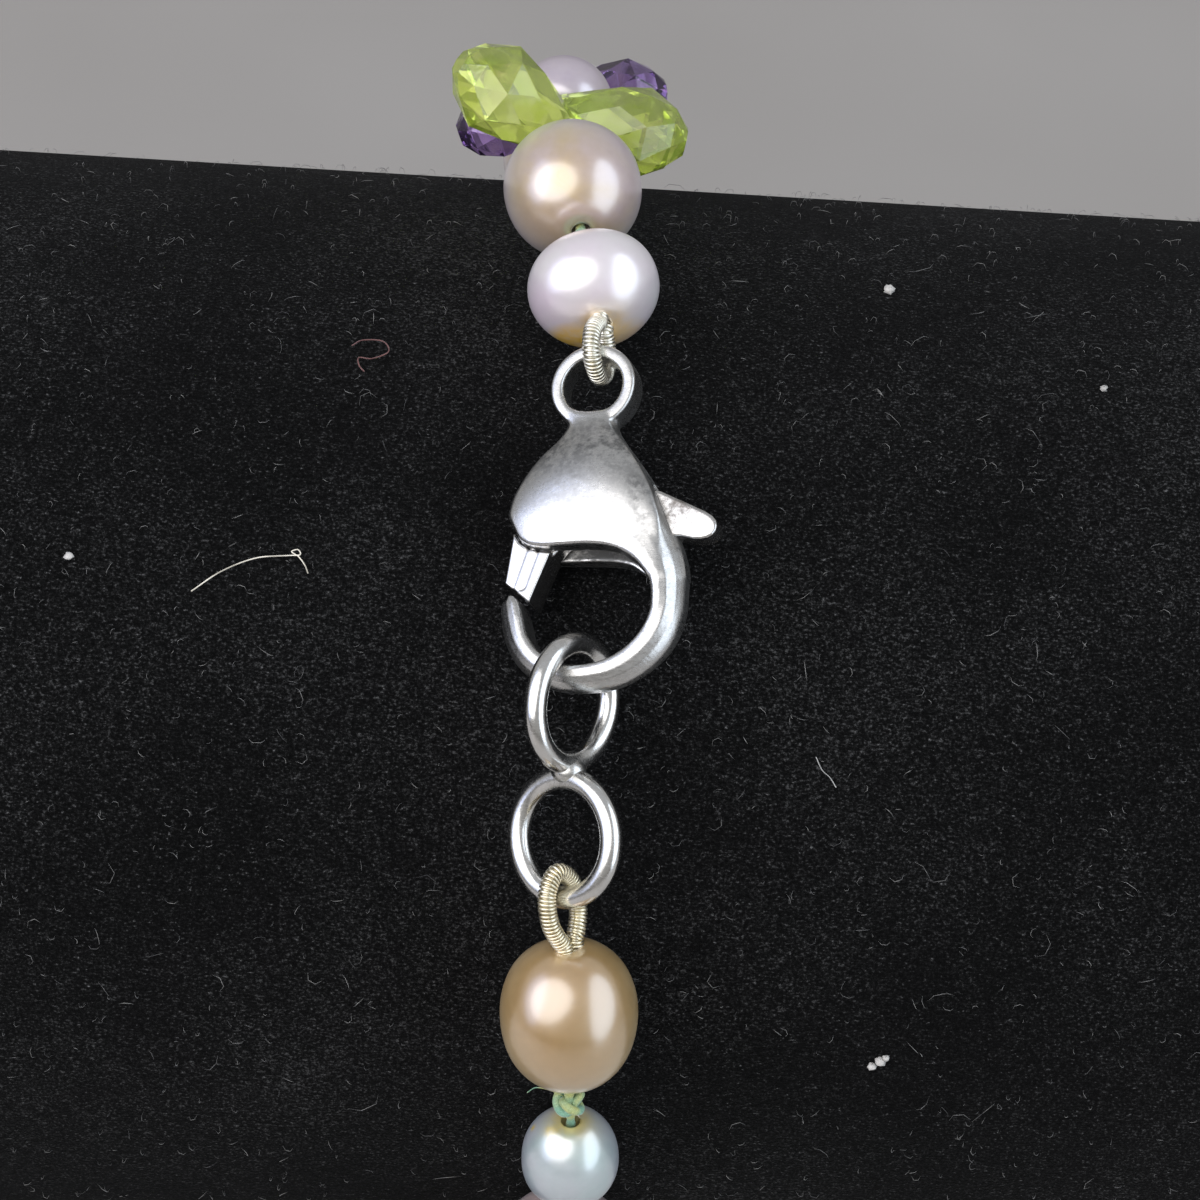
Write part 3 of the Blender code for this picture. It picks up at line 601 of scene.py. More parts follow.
def gem(name, tint, deep, density, index, clear, seed):
    """Clear coloured stone: tinted where light enters, deeper inside, with faint feathers."""
    made, tree, shader, place = new_material(
        name, Roughness=0.015, IOR=index, Transmission_Weight=clear, Specular_IOR_Level=0.6
    )
    shift = {"Location": (seed * 2.3, seed * 1.1, seed * 4.2)}
    feathers = noise(tree, place, 0.7, 5.0, 0.65, 0.8, stretch=shift)
    colour = mix(tree, ramp(tree, feathers, ((0.45, 0.0), (0.72, 1.0))), tint, deep)
    dents = bump(tree, noise(tree, place, 3.0, 3.0), 0.006, 0.4)
    link(tree, shader, Base_Color=colour, Normal=dents)
    absorb = add_node(tree, "VolumeAbsorption", {"Color": (*deep, 1.0), "Density": density})
    link(tree, tree.nodes["Material Output"], Volume=absorb.outputs[0])
    return made


STONES_OF_EACH = 8
for family, tint, deep, density, index, clear in (
    ("peridot", (0.88, 0.98, 0.28), (0.68, 0.88, 0.06), 26.0, 1.67, 0.80),
    ("amethyst", (0.62, 0.46, 0.76), (0.30, 0.13, 0.46), 200.0, 1.55, 0.95),
):
    for number in range(1, STONES_OF_EACH + 1):
        name = f"{family}_{number:02d}"
        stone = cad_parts[name]
        mat = gem(name + "_stone", tint, deep, density, index, clear, number)
        stone.data.materials.clear()
        stone.data.materials.append(mat)

# Silk. One pale green thread of two plies runs through every pearl and stone, with a knot
# against each pearl so that none rubs its neighbour. Each end is doubled back into the first
# pearl beyond its metal coil and cut.
STRAND_ORDER = (
    "pearl_01", "pearl_02", "pearl_03", "pearl_04", "amethyst_01", "amethyst_02", "pearl_05",
    "peridot_01", "peridot_02", "pearl_06", "pearl_07", "pearl_08", "amethyst_03",
    "amethyst_04", "pearl_09", "peridot_03", "peridot_04", "pearl_10", "pearl_11", "pearl_12",
    "amethyst_05", "amethyst_06", "pearl_13", "peridot_05", "peridot_06", "pearl_14",
    "pearl_15", "pearl_16", "amethyst_07", "amethyst_08", "pearl_17", "peridot_07",
    "peridot_08", "pearl_18", "pearl_19",
)
STONE_SIZE = {"peridot": 1.0, "amethyst": 0.86}
DRILL_HEIGHT = 1.25
STONE_HALF = 1.375
SILK_RADIUS = 0.2
SILK_SIDES = 10
SILK_STEPS = 1400
SILK_TWIST = 3.6
SILK_STOP = 0.6
KNOT_RADIUS = 0.21
KNOT_STEPS = 60


def kind(name):
    """What a bead is: pearl, peridot or amethyst."""
    return name.split("_")[0]


def drilled(name):
    """Where a stone's hole crosses its long axis: a set way up from its narrow tip."""
    places = corners(name)
    middle, axis = long_axis(places)
    along_axis = (places - middle) @ axis
    at_ends = along_axis > along_axis.max() - 0.02, along_axis < along_axis.min() + 0.02
    ends = sorted((places[at_end] for at_end in at_ends), key=lambda end: np.ptp(end, axis=0).sum())
    tip, broad = (end.mean(axis=0) for end in ends)
    return tip + unit(broad - tip) * DRILL_HEIGHT * STONE_SIZE[kind(name)]


def run_along(path):
    """How far each point of a path is from its start, measured along it."""
    return np.concatenate([[0.0], np.cumsum(np.linalg.norm(np.diff(path, axis=0), axis=1))])


middles = np.array([strand[n][0] if n in strand else drilled(n) for n in STRAND_ORDER])
ahead = unit(np.diff(middles, axis=0))
ways = unit(np.concatenate([ahead[:1], ahead[:-1] + ahead[1:], ahead[-1:]]))
halves = [strand[n][2] if n in strand else STONE_HALF * STONE_SIZE[kind(n)] for n in STRAND_ORDER]
stops = []
knots = []
for index, (name, middle, way, half) in enumerate(zip(STRAND_ORDER, middles, ways, halves)):
    way = strand[name][1] if name in strand else way
    first = SILK_STOP if name == "pearl_01" else 0.0
    last = SILK_STOP if name == "pearl_19" else 0.0
    stops += [middle - way * (half - first), middle, middle + way * (half - last)]
    following = STRAND_ORDER[index + 1] if index + 1 < len(middles) else ""
    pair = kind(name) == kind(following) and name not in strand
    if following and not pair:
        knots.append((stops[-1], middles[index + 1] - ways[index + 1] * halves[index + 1]))
path = smooth_path(stops, SILK_STEPS)
twist = circle(SILK_SIDES) - run_along(path)[:, None] * SILK_TWIST
plies = SILK_RADIUS * (1 + 0.2 * np.cos(2 * twist))
shells = [sweep(path, path * (0, 1, 1) - (0, 0, AXIS_HEIGHT), plies, SILK_SIDES)]


def overhand(start, end):
    """A small overhand knot: a three-lobed ring of thread drawn tight about the strand."""
    centre = (start + end) / 2
    way = unit(end - start)
    lift = out_from_bar(centre, way)
    half = min(0.36, 0.5 * np.linalg.norm(end - start) - 0.2)
    at = circle(KNOT_STEPS)
    reach = 0.42 + 0.15 * np.cos(3 * at)
    lobes = np.stack([reach * np.cos(2 * at), reach * np.sin(2 * at), half * np.sin(3 * at)])
    curve = centre + lobes.T @ np.array([np.cross(way, lift), lift, way])
    return sweep(curve, way + 0.31 * lift, KNOT_RADIUS, 8, closed=True)


shells += [overhand(start, end) for start, end in knots]
STRAY = ((-0.2, 0.1, 0.3), (-0.8, 0.35, 0.7), (-1.5, -0.1, 0.8), (-1.9, 0.3, 0.5))
STRAY_RADIUS = 0.025
middle = sum(knots[0]) / 2
stray = smooth_path([middle + (x, -y, y + z) for x, y, z in STRAY], 24)
shells.append(sweep(stray, (0.0, -0.7, 0.7), STRAY_RADIUS, 5))
silk, tree, shader, place = new_material(
    "silk_two_ply", Roughness=0.45, Sheen_Weight=0.5, Sheen_Roughness=0.3
)
fine = noise(tree, place, 14.0, 3.0, 0.6)
dye = ramp(tree, noise(tree, place, 0.8, 2.0), ((0.42, 0.0), (0.6, 1.0)))
colour = mix(tree, dye, (0.24, 0.46, 0.33), (0.52, 0.55, 0.20))
colour = mix(tree, 0.5, colour, ramp(tree, fine, ((0.3, 0.25), (0.7, 0.75))), "OVERLAY")
link(tree, shader, Base_Color=colour, Normal=bump(tree, fine, 0.05, 0.7))
add_piece("silk_strand", shells, silk, ["silk_thread"])

# Coiled loops. A fine silvery wire is wound into a tight tube that is slipped over the silk,
# so that the silk doesn't chafe on metal. One loop holds the double ring to the big pearl,
# one the clasp's eye to the white pearl. Both legs of each go into the pearl's hole.
LINK_ANGLE = 40.0
LINK_RADIUS = 2.6
LINK_WIRE = 0.5
COIL_RADIUS = 0.42
WIRE_RADIUS = 0.078
WIRE_PITCH = 2.06 * WIRE_RADIUS
WIRE_STEPS = 22
CORE_STEPS = 2600
COIL_GAP = 0.2
# Share of the way from the hole to the far end, and share of the loop's half width.
COIL_OUTLINE = (
    (-0.25, 0.36), (0.02, 0.39), (0.14, 0.62), (0.34, 0.93), (0.56, 1.0), (0.78, 0.86), (0.93, 0.5),
)
HOLE_DEPTH = 0.05
ACROSS = np.array([1.0, 0.0, 0.0])


def along(angle):
    """The direction round the bar, up its front and over the top, at an angle."""
    turn = math.radians(angle)
    return np.array([0.0, math.sin(turn), math.cos(turn)])


def outward(angle):
    """The direction away from the bar's axis at an angle."""
    turn = math.radians(angle)
    return np.array([0.0, -math.cos(turn), math.sin(turn)])


def coil(name, hole, rim, wide, half_wide, rim_depth, node, colours):
    """A helix about a slim loop that starts and ends in a pearl's hole and passes a rim."""
    towards = unit(rim - hole)
    far = rim + towards * (rim_depth + COIL_GAP + COIL_RADIUS)
    span = np.linalg.norm(far - hole)
    right = [hole + towards * span * s + wide * half_wide * w for s, w in COIL_OUTLINE]
    left = [hole + towards * span * s - wide * half_wide * w for s, w in COIL_OUTLINE]
    core = smooth_path(right + [far] + left[::-1], CORE_STEPS)
    facing = unit(np.cross(wide, towards))
    way = unit(np.gradient(core, axis=0))
    winds = run_along(core) / WIRE_PITCH
    turn = (winds * 2 * math.pi)[:, None]
    wound = core + (COIL_RADIUS - WIRE_RADIUS) * (
        np.cos(turn) * np.cross(way, facing) + np.sin(turn) * facing
    )
    count = int(winds[-1] * WIRE_STEPS)
    at, given = np.linspace(0, 1, count), np.linspace(0, 1, len(wound))
    wound = np.stack([np.interp(at, given, row) for row in wound.T], axis=1)
    helix_way = np.gradient(wound, axis=0)
    ups = np.cross(helix_way, way[np.linspace(0, len(way) - 1, count).astype(int)])
    silk_core = sweep(core[::26], facing, COIL_RADIUS - 1.6 * WIRE_RADIUS, 8)
    made, tree, shader, place = new_material(name + "_wire", Metallic=1.0, Anisotropic=0.3)
    worn = ramp(tree, noise(tree, place, 1.4, 4.0, 0.6), ((0.35, 0.0), (0.7, 1.0)))
    rough = ramp(tree, noise(tree, place, 5.0, 2.0), ((0.3, 0.24), (0.7, 0.5)))
    link(tree, shader, Base_Color=mix(tree, worn, *colours), Roughness=rough)
    add_piece(name, [sweep(wound, ups, WIRE_RADIUS, 6), silk_core], made, [node])


def ring_across(lean):
    """The direction across a ring that is leaned out from the bar by an angle."""
    turn = math.radians(lean)
    return ACROSS * math.cos(turn) + outward(LINK_ANGLE) * math.sin(turn)


LINK_OUT = 29.05
RING_OFFSET = 2.925
LINK_JOIN = bar_point(LINK_ANGLE, LINK_OUT)
UPPER_CENTRE = LINK_JOIN + along(LINK_ANGLE) * RING_OFFSET
LOWER_CENTRE = LINK_JOIN - along(LINK_ANGLE) * RING_OFFSET
LOWER_CROSS = ring_across(40.0)
UPPER_CROSS = ring_across(127.0)
centre, way, half = strand["pearl_01"]
hole = centre - way * (half - HOLE_DEPTH)
rim = LOWER_CENTRE - along(LINK_ANGLE) * LINK_RADIUS
wide = unit(np.cross(LOWER_CROSS, unit(hole - rim)))
wide = wide if wide @ ACROSS > 0 else -wide
coil("coil_loop_lower", hole, rim, wide, 0.98, LINK_WIRE, "wire_loop_lower",
     ((0.95, 0.89, 0.70), (0.76, 0.68, 0.48)))

CLASP_ANGLE = 63.2
CLASP_ROLL = math.radians(19.0)
CLASP_V = along(CLASP_ANGLE)
CLASP_W = outward(CLASP_ANGLE) * math.cos(CLASP_ROLL) - ACROSS * math.sin(CLASP_ROLL)
CLASP_U = np.cross(CLASP_V, CLASP_W)
CLASP_AXES = np.array([CLASP_U, CLASP_V, CLASP_W])
CLASP_OUT = 28.48
CLASP_X = 34.25
EYE_AHEAD = 5.6
CLASP_ORIGIN = bar_point(CLASP_ANGLE, CLASP_OUT, CLASP_X) + CLASP_V * EYE_AHEAD
EYE_RADIUS = 1.65
EYE_WALL = 0.29
centre, way, half = strand["pearl_19"]
hole = centre + way * (half - HOLE_DEPTH)
rim = CLASP_ORIGIN + CLASP_V * EYE_RADIUS
towards = unit(rim - hole)
wide = unit(CLASP_W - towards * (CLASP_W @ towards))
coil("coil_loop_upper", hole, rim, wide, 1.16, EYE_WALL, "wire_loop_upper",
     ((0.95, 0.93, 0.84), (0.78, 0.74, 0.60)))

# Double ring. Two round rings of sterling wire, turned to each other and soldered where they
# meet; the lower one is tied to the strand and the clasp's hook opens over the upper one.
# The wire is polished, with fine wear lines and a little dark tarnish in the joint.


def silver(name, bright=(0.76, 0.755, 0.735), dull=(0.50, 0.49, 0.46), worn=0.35, rub=0.11):
    """Polished sterling: bright metal with cloudy tarnish, hair scratches and tiny dents."""
    made, tree, shader, place = new_material(name, Metallic=1.0)
    clouds = noise(tree, place, 0.55, 5.0, 0.62, 0.6)
    speck = noise(tree, place, 4.0, 3.0, 0.7)
    patches = times(tree, noise(tree, place, 0.95, 3.0, 0.6), 0.65)
    patches = ramp(tree, plus(tree, times(tree, speck, 0.35), patches), ((0.43, 0.12), (0.57, 1.0)))
    tarnish = add_node(tree, "Attribute", attribute_name="tarnish").outputs["Fac"]
    share = ramp(tree, times(tree, clouds, plus(tree, speck, 0.4)), ((0.34, 0.0), (0.62, worn)))
    share = plus(tree, share, times(tree, tarnish, patches))
    lean = {"Scale": (0.6, 6.0, 6.0), "Rotation": (0.2, 0.5, 0.9)}
    lines = noise(tree, place, 3.0, 3.0, 0.6, stretch=lean)
    rough = ramp(tree, lines, ((0.35, rub), (0.7, rub + 0.13)))
    rough = plus(tree, rough, times(tree, share, 0.25))
    relief = bump(tree, plus(tree, times(tree, lines, 0.35), speck), 0.012, 0.35)
    link(tree, shader, Base_Color=mix(tree, share, bright, dull), Roughness=rough, Normal=relief)
    return made


RING_STEPS = 120
RING_SIDES = 24
# Half length and radius of the bead of solder.
SOLDER = (0.62, 0.78)


def ring_shell(centre, across, lengthwise):
    """A round wire carried round a circle on two axes."""
    at = circle(RING_STEPS)[:, None]
    path = centre + LINK_RADIUS * (np.cos(at) * across + np.sin(at) * lengthwise)
    return sweep(path, np.cross(across, lengthwise), LINK_WIRE, RING_SIDES, closed=True)


lengthwise = along(LINK_ANGLE)
between = unit(LOWER_CROSS + UPPER_CROSS)
turn = np.linspace(0.08, math.pi - 0.08, 15)
solder = np.stack([SOLDER[1] * np.sin(turn), -SOLDER[0] * np.cos(turn)], axis=1)
shells = [
    ring_shell(UPPER_CENTRE, UPPER_CROSS, lengthwise),
    ring_shell(LOWER_CENTRE, LOWER_CROSS, lengthwise),
    lathe(solder, 32, LINK_JOIN, np.array([np.cross(between, lengthwise), between, lengthwise])),
]
places = np.concatenate([shell[0] for shell in shells])
near_joint = np.exp(-((np.linalg.norm(places - LINK_JOIN, axis=1) / 1.2) ** 2))
add_piece("soldered_double_ring", shells, silver("ring_silver"), ["double_ring"],
          values={"tarnish": 0.6 * near_joint})

# Clasp body. One casting in sterling silver: an eye at the top, a domed front and back with a
# slot between them for the lever, and a hook of a flat inner and a rounded outer side. Cast,
# tumbled and polished; its front and back are darker in mottled patches across the upper dome
# and beside the right flank.
# U and V run across and along the clasp from the eye's middle, and W points out of its front.
# At each V: the body's left and right side and its half depth.
BODY_SIDES = (
    (-1.2, -0.98, 0.98, 0.58), (-1.7, -1.06, 1.06, 0.76), (-2.1, -1.19, 1.20, 0.98),
    (-2.6, -1.46, 1.50, 1.22), (-3.3, -2.06, 2.02, 1.52), (-4.4, -2.80, 2.74, 1.78),
    (-5.4, -3.26, 3.26, 1.87), (-6.2, -3.42, 3.60, 1.86), (-6.8, -3.40, 3.86, 1.80),
    (-7.6, -3.30, 4.18, 1.68), (-8.4, -3.10, 4.46, 1.58), (-9.2, -2.80, 4.60, 1.48),
)
# The body's lower rim as (U, V), then the crease down its right flank as (V, U).
BODY_RIM = (
    (-3.6, -6.20), (-3.2, -6.52), (-2.98, -6.86), (-2.78, -7.22), (-2.45, -7.5), (-1.9, -7.68),
    (-0.8, -7.77), (0.5, -7.82), (1.4, -7.95), (2.1, -8.2), (2.7, -8.6), (3.2, -9.2),
)
BODY_CREASE = (
    (-1.2, 0.5), (-2.1, 1.05), (-3.28, 1.95), (-4.25, 2.60), (-5.12, 3.08), (-6.58, 3.62),
    (-8.06, 3.72), (-9.6, 3.8),
)
# Rungs across the hook: inner (U, V), outer (U, V) and depth. HOOK_DEPTH gives the share of
# that depth on each side of the middle, from the inner edge to the outer.
HOOK_RUNGS = (
    (2.10, -8.08, 4.05, -7.05, 2.95), (2.58, -8.46, 4.35, -7.85, 2.90),
    (3.00, -8.95, 4.56, -8.62, 2.80), (3.26, -9.60, 4.66, -9.55, 2.62),
    (3.32, -10.6, 4.58, -10.90, 2.45), (3.00, -11.5, 4.12, -12.15, 2.30),
    (2.33, -12.3, 3.18, -13.15, 2.15), (1.40, -12.85, 1.90, -13.85, 2.05),
    (0.30, -13.05, 0.38, -14.08, 1.98), (-0.80, -12.88, -1.12, -13.90, 1.95),
    (-1.65, -12.35, -2.38, -13.20, 1.95), (-2.22, -11.6, -3.20, -12.20, 1.92),
    (-2.48, -10.85, -3.62, -11.00, 1.85), (-2.76, -10.24, -3.70, -10.1, 1.70),
    (-3.20, -9.72, -3.66, -9.55, 1.4),
)
HOOK_DEPTH = ((0.0, 0.43), (0.12, 0.485), (0.3, 0.5), (0.55, 0.45), (0.8, 0.33), (1.0, 0.14))
HOOK_STEPS = 260
SLOT_HALF = 0.66
SLOT_TOP = ((-4.6, 0.6, 5.6), (-5.5, -4.6, -4.2))
SLOT_BOTTOM = ((0.6, 2.4, 3.9), (-9.9, -8.9, -7.2))
EYE_HALF = 0.70


def soft_max(a, b, blend):
    """The larger of two fields, rounded over a blend of that many millimetres."""
    gap = np.clip(0.5 + 0.5 * (a - b) / blend, 0, 1)
    return b + (a - b) * gap + blend * gap * (1 - gap)


def soft_min(a, b, blend):
    return -soft_max(-a, -b, blend)


def table(at, rows, column):
    """A column of a table at places along its first column, joined by smooth curves."""
    rows = np.asarray(rows, float)
    keys = rows[:, 0] if rows[0, 0] < rows[-1, 0] else rows[::-1, 0]
    values = rows[:, column] if rows[0, 0] < rows[-1, 0] else rows[::-1, column]
    fine = np.linspace(keys[0], keys[-1], 160)
    slope = np.gradient(values, keys)
    span = np.clip(np.searchsorted(keys, fine, "right") - 1, 0, len(keys) - 2)
    width = keys[span + 1] - keys[span]
    t = (fine - keys[span]) / width
    curve = (
        (2 * t**3 - 3 * t**2 + 1) * values[span] + (t**3 - 2 * t**2 + t) * width * slope[span]
        + (3 * t**2 - 2 * t**3) * values[span + 1] + (t**3 - t**2) * width * slope[span + 1]
    )
    return np.interp(at, fine, curve)


def skin(field, low, high, step):
    """The zero surface of a field over a box: one point in each cell that it crosses.

    Each point is the mean of the cell's crossings, then moved along the field's slope until
    the field is nought there. Each crossed grid edge gives the quad of its four cells.
    """
    axes = [np.arange(a, b + step, step) for a, b in zip(low, high)]
    u, v, w = np.meshgrid(*axes, indexing="ij", sparse=True)
    values = field(u, v, w)
    size = np.array(values.shape)
    inside = values < 0
    total = np.zeros((size.prod(), 3))
    seen = np.zeros(size.prod())
    quads = []
    for axis in range(3):
        first = [slice(None)] * 3
        second = [slice(None)] * 3
        first[axis], second[axis] = slice(0, -1), slice(1, None)
        first, second = tuple(first), tuple(second)
        spots = np.argwhere(inside[first] != inside[second])
        spots = spots[((spots > 0) & (spots < size - 1)).all(axis=1)]
        a = values[tuple(spots.T)]
        forward = np.eye(3, dtype=int)[axis]
        b = values[tuple((spots + forward).T)]
        crossing = spots + forward * (a / (a - b))[:, None]
        beside = np.eye(3, dtype=int)[[(axis + 1) % 3, (axis + 2) % 3]]
        around = [spots - beside[0] - beside[1], spots - beside[1], spots, spots - beside[0]]
        cells = np.stack([np.ravel_multi_index(c.T, size) for c in around], axis=1)
        for column in cells.T:
            np.add.at(total, column, crossing)
            np.add.at(seen, column, 1)
        cells[a > 0] = cells[a > 0][:, ::-1]
        quads.append(cells)
    used = np.flatnonzero(seen)
    number = np.full(size.prod(), -1)
    number[used] = np.arange(len(used))
    quads = number[np.concatenate(quads)]
    points = np.array([a[0] for a in axes]) + total[used] / seen[used, None] * step
    reach = 0.2 * step
    for _ in range(4):
        here = field(*points.T)
        slope = np.stack([
            (field(*(points + shift).T) - field(*(points - shift).T)) / (2 * reach)
            for shift in np.eye(3) * reach
        ], axis=1)
        move = -(here / np.maximum((slope**2).sum(axis=1), 0.05))[:, None] * slope
        points += np.clip(move, -0.3 * step, 0.3 * step)
    return points, quads, np.zeros((0, 4), int)


rungs = smooth_path(HOOK_RUNGS, HOOK_STEPS)
HOOK_MIDDLE = (rungs[:, 0:2] + rungs[:, 2:4]) / 2


def hook_field(u, v):
    """For each place, how far it is outside the hook's outline, and the half depth there."""
    shape = np.broadcast(u, v).shape
    at = np.stack([np.broadcast_to(u, shape).ravel(), np.broadcast_to(v, shape).ravel()], axis=1)
    nearest = np.concatenate([
        ((part[:, None] - HOOK_MIDDLE) ** 2).sum(axis=2).argmin(axis=1)
        for part in np.array_split(at, max(1, len(at) // 8000))
    ])
    last = HOOK_STEPS - 1
    ahead = HOOK_MIDDLE[np.minimum(nearest + 1, last)] - HOOK_MIDDLE[np.maximum(nearest - 1, 0)]
    slip = ((at - HOOK_MIDDLE[nearest]) * unit(ahead)).sum(axis=1)
    rung = rungs[nearest]
    spare = np.where((nearest == 0) | (nearest == last), np.abs(slip) - 0.04, -9.0)
    wide = rung[:, 2:4] - rung[:, 0:2]
    width = np.linalg.norm(wide, axis=1)
    share = ((at - rung[:, 0:2]) * wide).sum(axis=1) / width**2
    outside = np.maximum(np.maximum(-share, share - 1) * width, spare)
    depth = rung[:, 4] * np.interp(share, *np.array(HOOK_DEPTH).T)
    return outside.reshape(shape), depth.reshape(shape)


def clasp_field(u, v, w):
    """Below nought inside the casting: body and hook and eye joined, less the lever's slot."""
    left, right, half = (table(v, BODY_SIDES, k) for k in (1, 2, 3))
    crease = np.minimum(table(v, BODY_CREASE, 1), right - 0.02)
    t = np.clip((u - left) / (crease - left), 0, 1)
    dome = 0.58 * (1 - t) + 0.80 * t + 0.30 * (4 * t * (1 - t)) ** 0.7
    flank = np.clip((u - crease) / (right - crease), 0, 1)
    height = half * np.where(u < crease, dome, 0.80 - 0.45 * flank**1.3)
    rim = table(u, BODY_RIM, 1) - v
    sides = np.maximum(left - u, u - right) * 0.9
    edge = soft_max(soft_max(sides, rim, 0.35), v + 1.2, 0.4)
    body = soft_max(edge, (np.abs(w) - height) * 0.85, 0.22)
    outside, depth = hook_field(u, v)
    hook = soft_max(outside, (np.abs(w) - depth) * 0.85, 0.16)
    eye = soft_max(np.abs(np.hypot(u, v) - EYE_RADIUS) - EYE_WALL, np.abs(w) - EYE_HALF, 0.2)
    metal = soft_min(soft_min(body, hook, 0.3), eye, 0.35)
    slot = soft_max(v - np.interp(u, *SLOT_TOP), (np.interp(u, *SLOT_BOTTOM) - v) * 0.7, 0.4)
    slot = soft_max(slot, np.abs(w) - SLOT_HALF, 0.12)
    return soft_max(metal, -slot, 0.1)


local, quads, caps = skin(clasp_field, (-4.1, -14.5, -2.1), (5.1, 2.2, 2.1), 0.075)
crease = table(local[:, 1], BODY_CREASE, 1)
# The front and back are darkened in mottled patches, in a band across the upper dome and in a patch
# beside the right flank; the slot's inside is darker still.
darker_patches = np.exp(-(((local[:, 1] + 3.2) / 1.5) ** 2))
beside = np.exp(-(((local[:, 0] - crease + 0.5) / 0.55) ** 2 + ((local[:, 1] + 5.6) / 1.6) ** 2))
darker_patches = np.maximum(darker_patches, 0.9 * beside) * (np.abs(local[:, 2]) > 0.8)
in_slot = (np.abs(local[:, 2]) < SLOT_HALF + 0.02) & (local[:, 1] > -8.0) & (local[:, 1] < -3.8)
tarnish = np.maximum(0.9 * darker_patches, 0.95 * in_slot)
mat = silver("clasp_casting", (0.66, 0.655, 0.64), (0.22, 0.22, 0.215), rub=0.2)
add_piece(
    "cast_clasp_body", [(CLASP_ORIGIN + local @ CLASP_AXES, quads, caps)], mat,
    ["clasp_body"], values={"tarnish": tarnish},
)

# Lever. A flat silver lever turns on the pin inside the slot: its thumb tab stands out on the
# right and its thicker gate shuts the hook on the left, held shut by a spring that can't be
# seen. The gate's face has a shallow sunk oblong.
LEVER_EDGE = (
    (0.9, -5.2), (2.1, -5.0), (3.35, -5.15), (5.4, -6.2), (5.75, -6.44), (5.93, -6.66),
    (5.99, -6.9), (5.95, -7.12), (5.80, -7.32), (5.55, -7.44), (5.25, -7.48), (4.95, -7.46),
    (4.4, -7.3), (3.6, -7.25), (1.9, -7.15), (0.3, -7.05), (-0.9, -7.35), (-1.48, -8.0),
    (-2.25, -10.0), (-3.3, -9.1), (-3.1, -7.2), (-2.4, -6.35), (-0.6, -5.6),
)
GATE_EDGE = (
    (-3.16, -6.84), (-2.86, -7.29), (-2.48, -7.58), (-1.92, -7.76), (-1.42, -7.84),
    (-2.26, -10.08), (-3.42, -9.16),
)
# Middle and half size.
GATE_OBLONG = ((-2.50, -8.55), (0.27, 0.95))
OBLONG_CORNER = 0.16
LEVER_HALF = 0.55
GATE_HALF = 0.85


def outline_field(u, v, edge):
    """The distance to a closed outline, below nought inside it."""
    start = np.asarray(edge, float)
    end = np.roll(start, -1, axis=0)
    distance = np.full(np.broadcast(u, v).shape, 99.0)
    inside = np.zeros(distance.shape, bool)
    for (au, av), (bu, bv) in zip(start, end):
        du, dv = bu - au, bv - av
        share = np.clip(((u - au) * du + (v - av) * dv) / (du * du + dv * dv), 0, 1)
        distance = np.minimum(distance, np.hypot(u - au - share * du, v - av - share * dv))
        if av != bv:
            inside ^= ((av > v) != (bv > v)) & (u < (v - av) * du / dv + au)
    return np.where(inside, -distance, distance)


def lever_field(u, v, w):
    """Below nought inside the lever: a plate and its thicker gate, with eased edges."""
    plate = soft_max(outline_field(u, v, LEVER_EDGE), np.abs(w) - LEVER_HALF, 0.16)
    gate = soft_max(outline_field(u, v, GATE_EDGE), np.abs(w) - GATE_HALF, 0.12)
    metal = soft_min(plate, gate, 0.08)
    (at_u, at_v), (half_u, half_v) = GATE_OBLONG
    box_u = np.abs(u - at_u - 0.30 * (v - at_v)) - half_u + OBLONG_CORNER
    box_v = np.abs(v - at_v) - half_v + OBLONG_CORNER
    oblong = np.hypot(np.maximum(box_u, 0), np.maximum(box_v, 0)) - OBLONG_CORNER
    oblong = oblong + np.minimum(np.maximum(box_u, box_v), 0)
    return metal + np.exp(-((oblong / 0.08) ** 2)) * 0.025 * (w > 0)


local, quads, caps = skin(lever_field, (-3.7, -10.4, -1.1), (6.2, -4.7, 1.1), 0.045)
sunk = np.clip((GATE_HALF - 0.012 - local[:, 2]) / 0.03, 0, 1)
on_face = (outline_field(local[:, 0], local[:, 1], GATE_EDGE) < -0.2) & (local[:, 2] > 0.7)
on_tab = np.exp(-(((local[:, 0] - 4.1) / 1.0) ** 2 + ((local[:, 1] + 6.1) / 0.7) ** 2))
tarnish = 1.3 * on_tab + 0.8 * sunk * on_face
mat = silver("lever_casting", (0.70, 0.69, 0.675), (0.26, 0.24, 0.22), worn=0.2)
add_piece(
    "lever_and_gate", [(CLASP_ORIGIN + local @ CLASP_AXES, quads, caps)], mat,
    ["clasp_lever"], body="lever", values={"tarnish": tarnish},
)

# Pin. A short steel rod is pressed through the casting, and the lever turns on it. It is
# hidden inside the casting, so it keeps its plain shape.
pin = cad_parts["clasp_pin"]
pin.data.materials.clear()
pin.data.materials.append(silver("pin_metal", (0.56, 0.57, 0.58), (0.36, 0.36, 0.36)))

# Floor. A plain sheet of matt grey paper under the stand, a little uneven in tone. It lies
# flat and reaches past every edge of the view.
FLOOR_HALF = 1.6
FLOOR_DARK, FLOOR_PALE = (0.39, 0.365, 0.34), (0.43, 0.405, 0.38)
floor, tree, shader, place = new_material("floor_paper", Roughness=0.8)
grain = ramp(tree, noise(tree, place, 0.02, 3.0), ((0.3, FLOOR_DARK), (0.7, FLOOR_PALE)))
link(tree, shader, Base_Color=grain)
rim = np.array([(-1, -1, 0), (1, -1, 0), (1, 1, 0), (-1, 1, 0)]) * FLOOR_HALF
mesh = bpy.data.meshes.new("floor")
mesh.from_pydata(rim.tolist(), [], [(0, 1, 2, 3)])
mesh.materials.append(floor)
sheet = bpy.data.objects.new("floor", mesh)
bpy.context.scene.collection.objects.link(sheet)

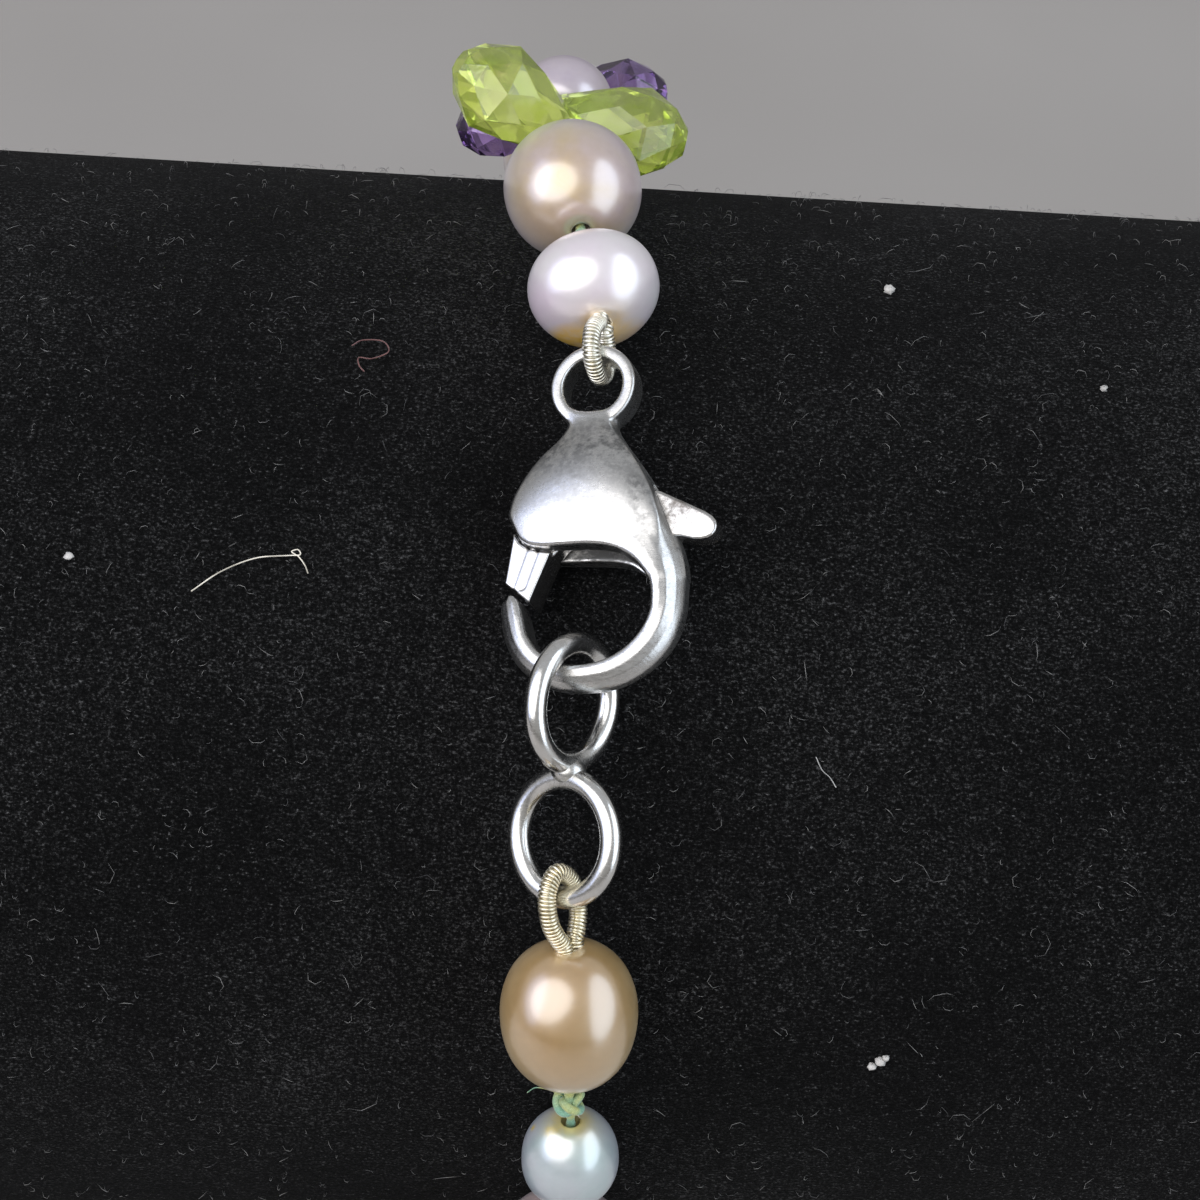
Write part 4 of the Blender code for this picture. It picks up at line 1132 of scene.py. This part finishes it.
# Light. A wide soft lamp to the left of the lens with a dimmer blue one beyond it, a tall cool
# one to the right, and a dim even room, brighter above than below.
TARGET = np.array([0.034, -0.012, 0.096])
UPHILL = np.array([0.0, 0.7, 0.7])
for name, heading, distance, width, length, glow, colour in (
    ("left_lamp", (-0.50, -0.53, 0.68), 0.34, 0.52, 0.46, 2.0, (1.0, 0.98, 0.98)),
    ("shoulder_lamp", (-0.86, -0.26, 0.44), 0.34, 0.24, 0.46, 1.1, (0.56, 0.66, 1.0)),
    ("right_lamp", (0.85, -0.34, 0.42), 0.36, 0.31, 0.68, 1.85, (0.77, 0.87, 1.0)),
):
    data = bpy.data.lights.new(name, "AREA")
    data.shape = "ELLIPSE"
    data.size, data.size_y = width, length
    data.energy = glow * math.pi**2 / 4 * width * length
    data.color = colour
    lamp = bpy.data.objects.new(name, data)
    heading = unit(np.array(heading))
    tall = unit(UPHILL - heading * (heading @ UPHILL))
    place = np.eye(4)
    place[:3, 0], place[:3, 1], place[:3, 2] = np.cross(tall, heading), tall, heading
    place[:3, 3] = TARGET + heading * distance
    lamp.matrix_world = Matrix(place.tolist())
    bpy.context.scene.collection.objects.link(lamp)

room = bpy.data.worlds.new("room")
bpy.context.scene.world = room
room.use_nodes = True
tree = room.node_tree
way = add_node(tree, "TexCoord").outputs["Generated"]
height = add_node(tree, "SeparateXYZ", {"Vector": way}).outputs["Z"]
glow = ramp(tree, plus(tree, times(tree, height, 0.5), 0.5),
            ((0.0, (0.07, 0.068, 0.065)), (0.5, (0.34, 0.333, 0.325)), (1.0, (0.46, 0.47, 0.49))))
link(tree, tree.nodes["Background"], Color=glow)
bpy.context.scene.view_settings.view_transform = "Standard"

# Camera. A long lens at 45 degrees above the bar's front, rolled a little, close to the clasp.
# Its focal length and the place in the picture that it aims at are in the picture's pixels.
PICTURE = 1200
FOCUS = 4560.0
AIM_AT = (572, 712)
DISTANCE = 226.0
SENSOR = 36.0
ROLL = math.radians(3.4)
TILT = math.radians(45.0)
back = np.array([0.0, -math.cos(TILT), math.sin(TILT)])
rise = np.array([0.0, math.sin(TILT), math.cos(TILT)])
right = ACROSS * math.cos(ROLL) + rise * math.sin(ROLL)
up = rise * math.cos(ROLL) - ACROSS * math.sin(ROLL)
off_right, off_down = (place - PICTURE / 2 for place in AIM_AT)
aim = unit(-back - right * off_right / FOCUS + up * off_down / FOCUS)
right = unit(right - aim * (right @ aim))
up = np.cross(right, aim)
lens = bpy.data.cameras.new("camera")
lens.sensor_width = SENSOR
lens.lens = SENSOR * FOCUS / PICTURE
lens.clip_start = 0.01
camera = bpy.data.objects.new("camera", lens)
bpy.context.scene.collection.objects.link(camera)
eye = (back * DISTANCE + (STRAND_X, 0.0, AXIS_HEIGHT)) * MM
matrix = np.eye(4)
matrix[:3, 0], matrix[:3, 1], matrix[:3, 2], matrix[:3, 3] = right, up, -aim, eye
camera.matrix_world = Matrix(matrix.tolist())
bpy.context.scene.camera = camera

bpy.context.view_layer.update()
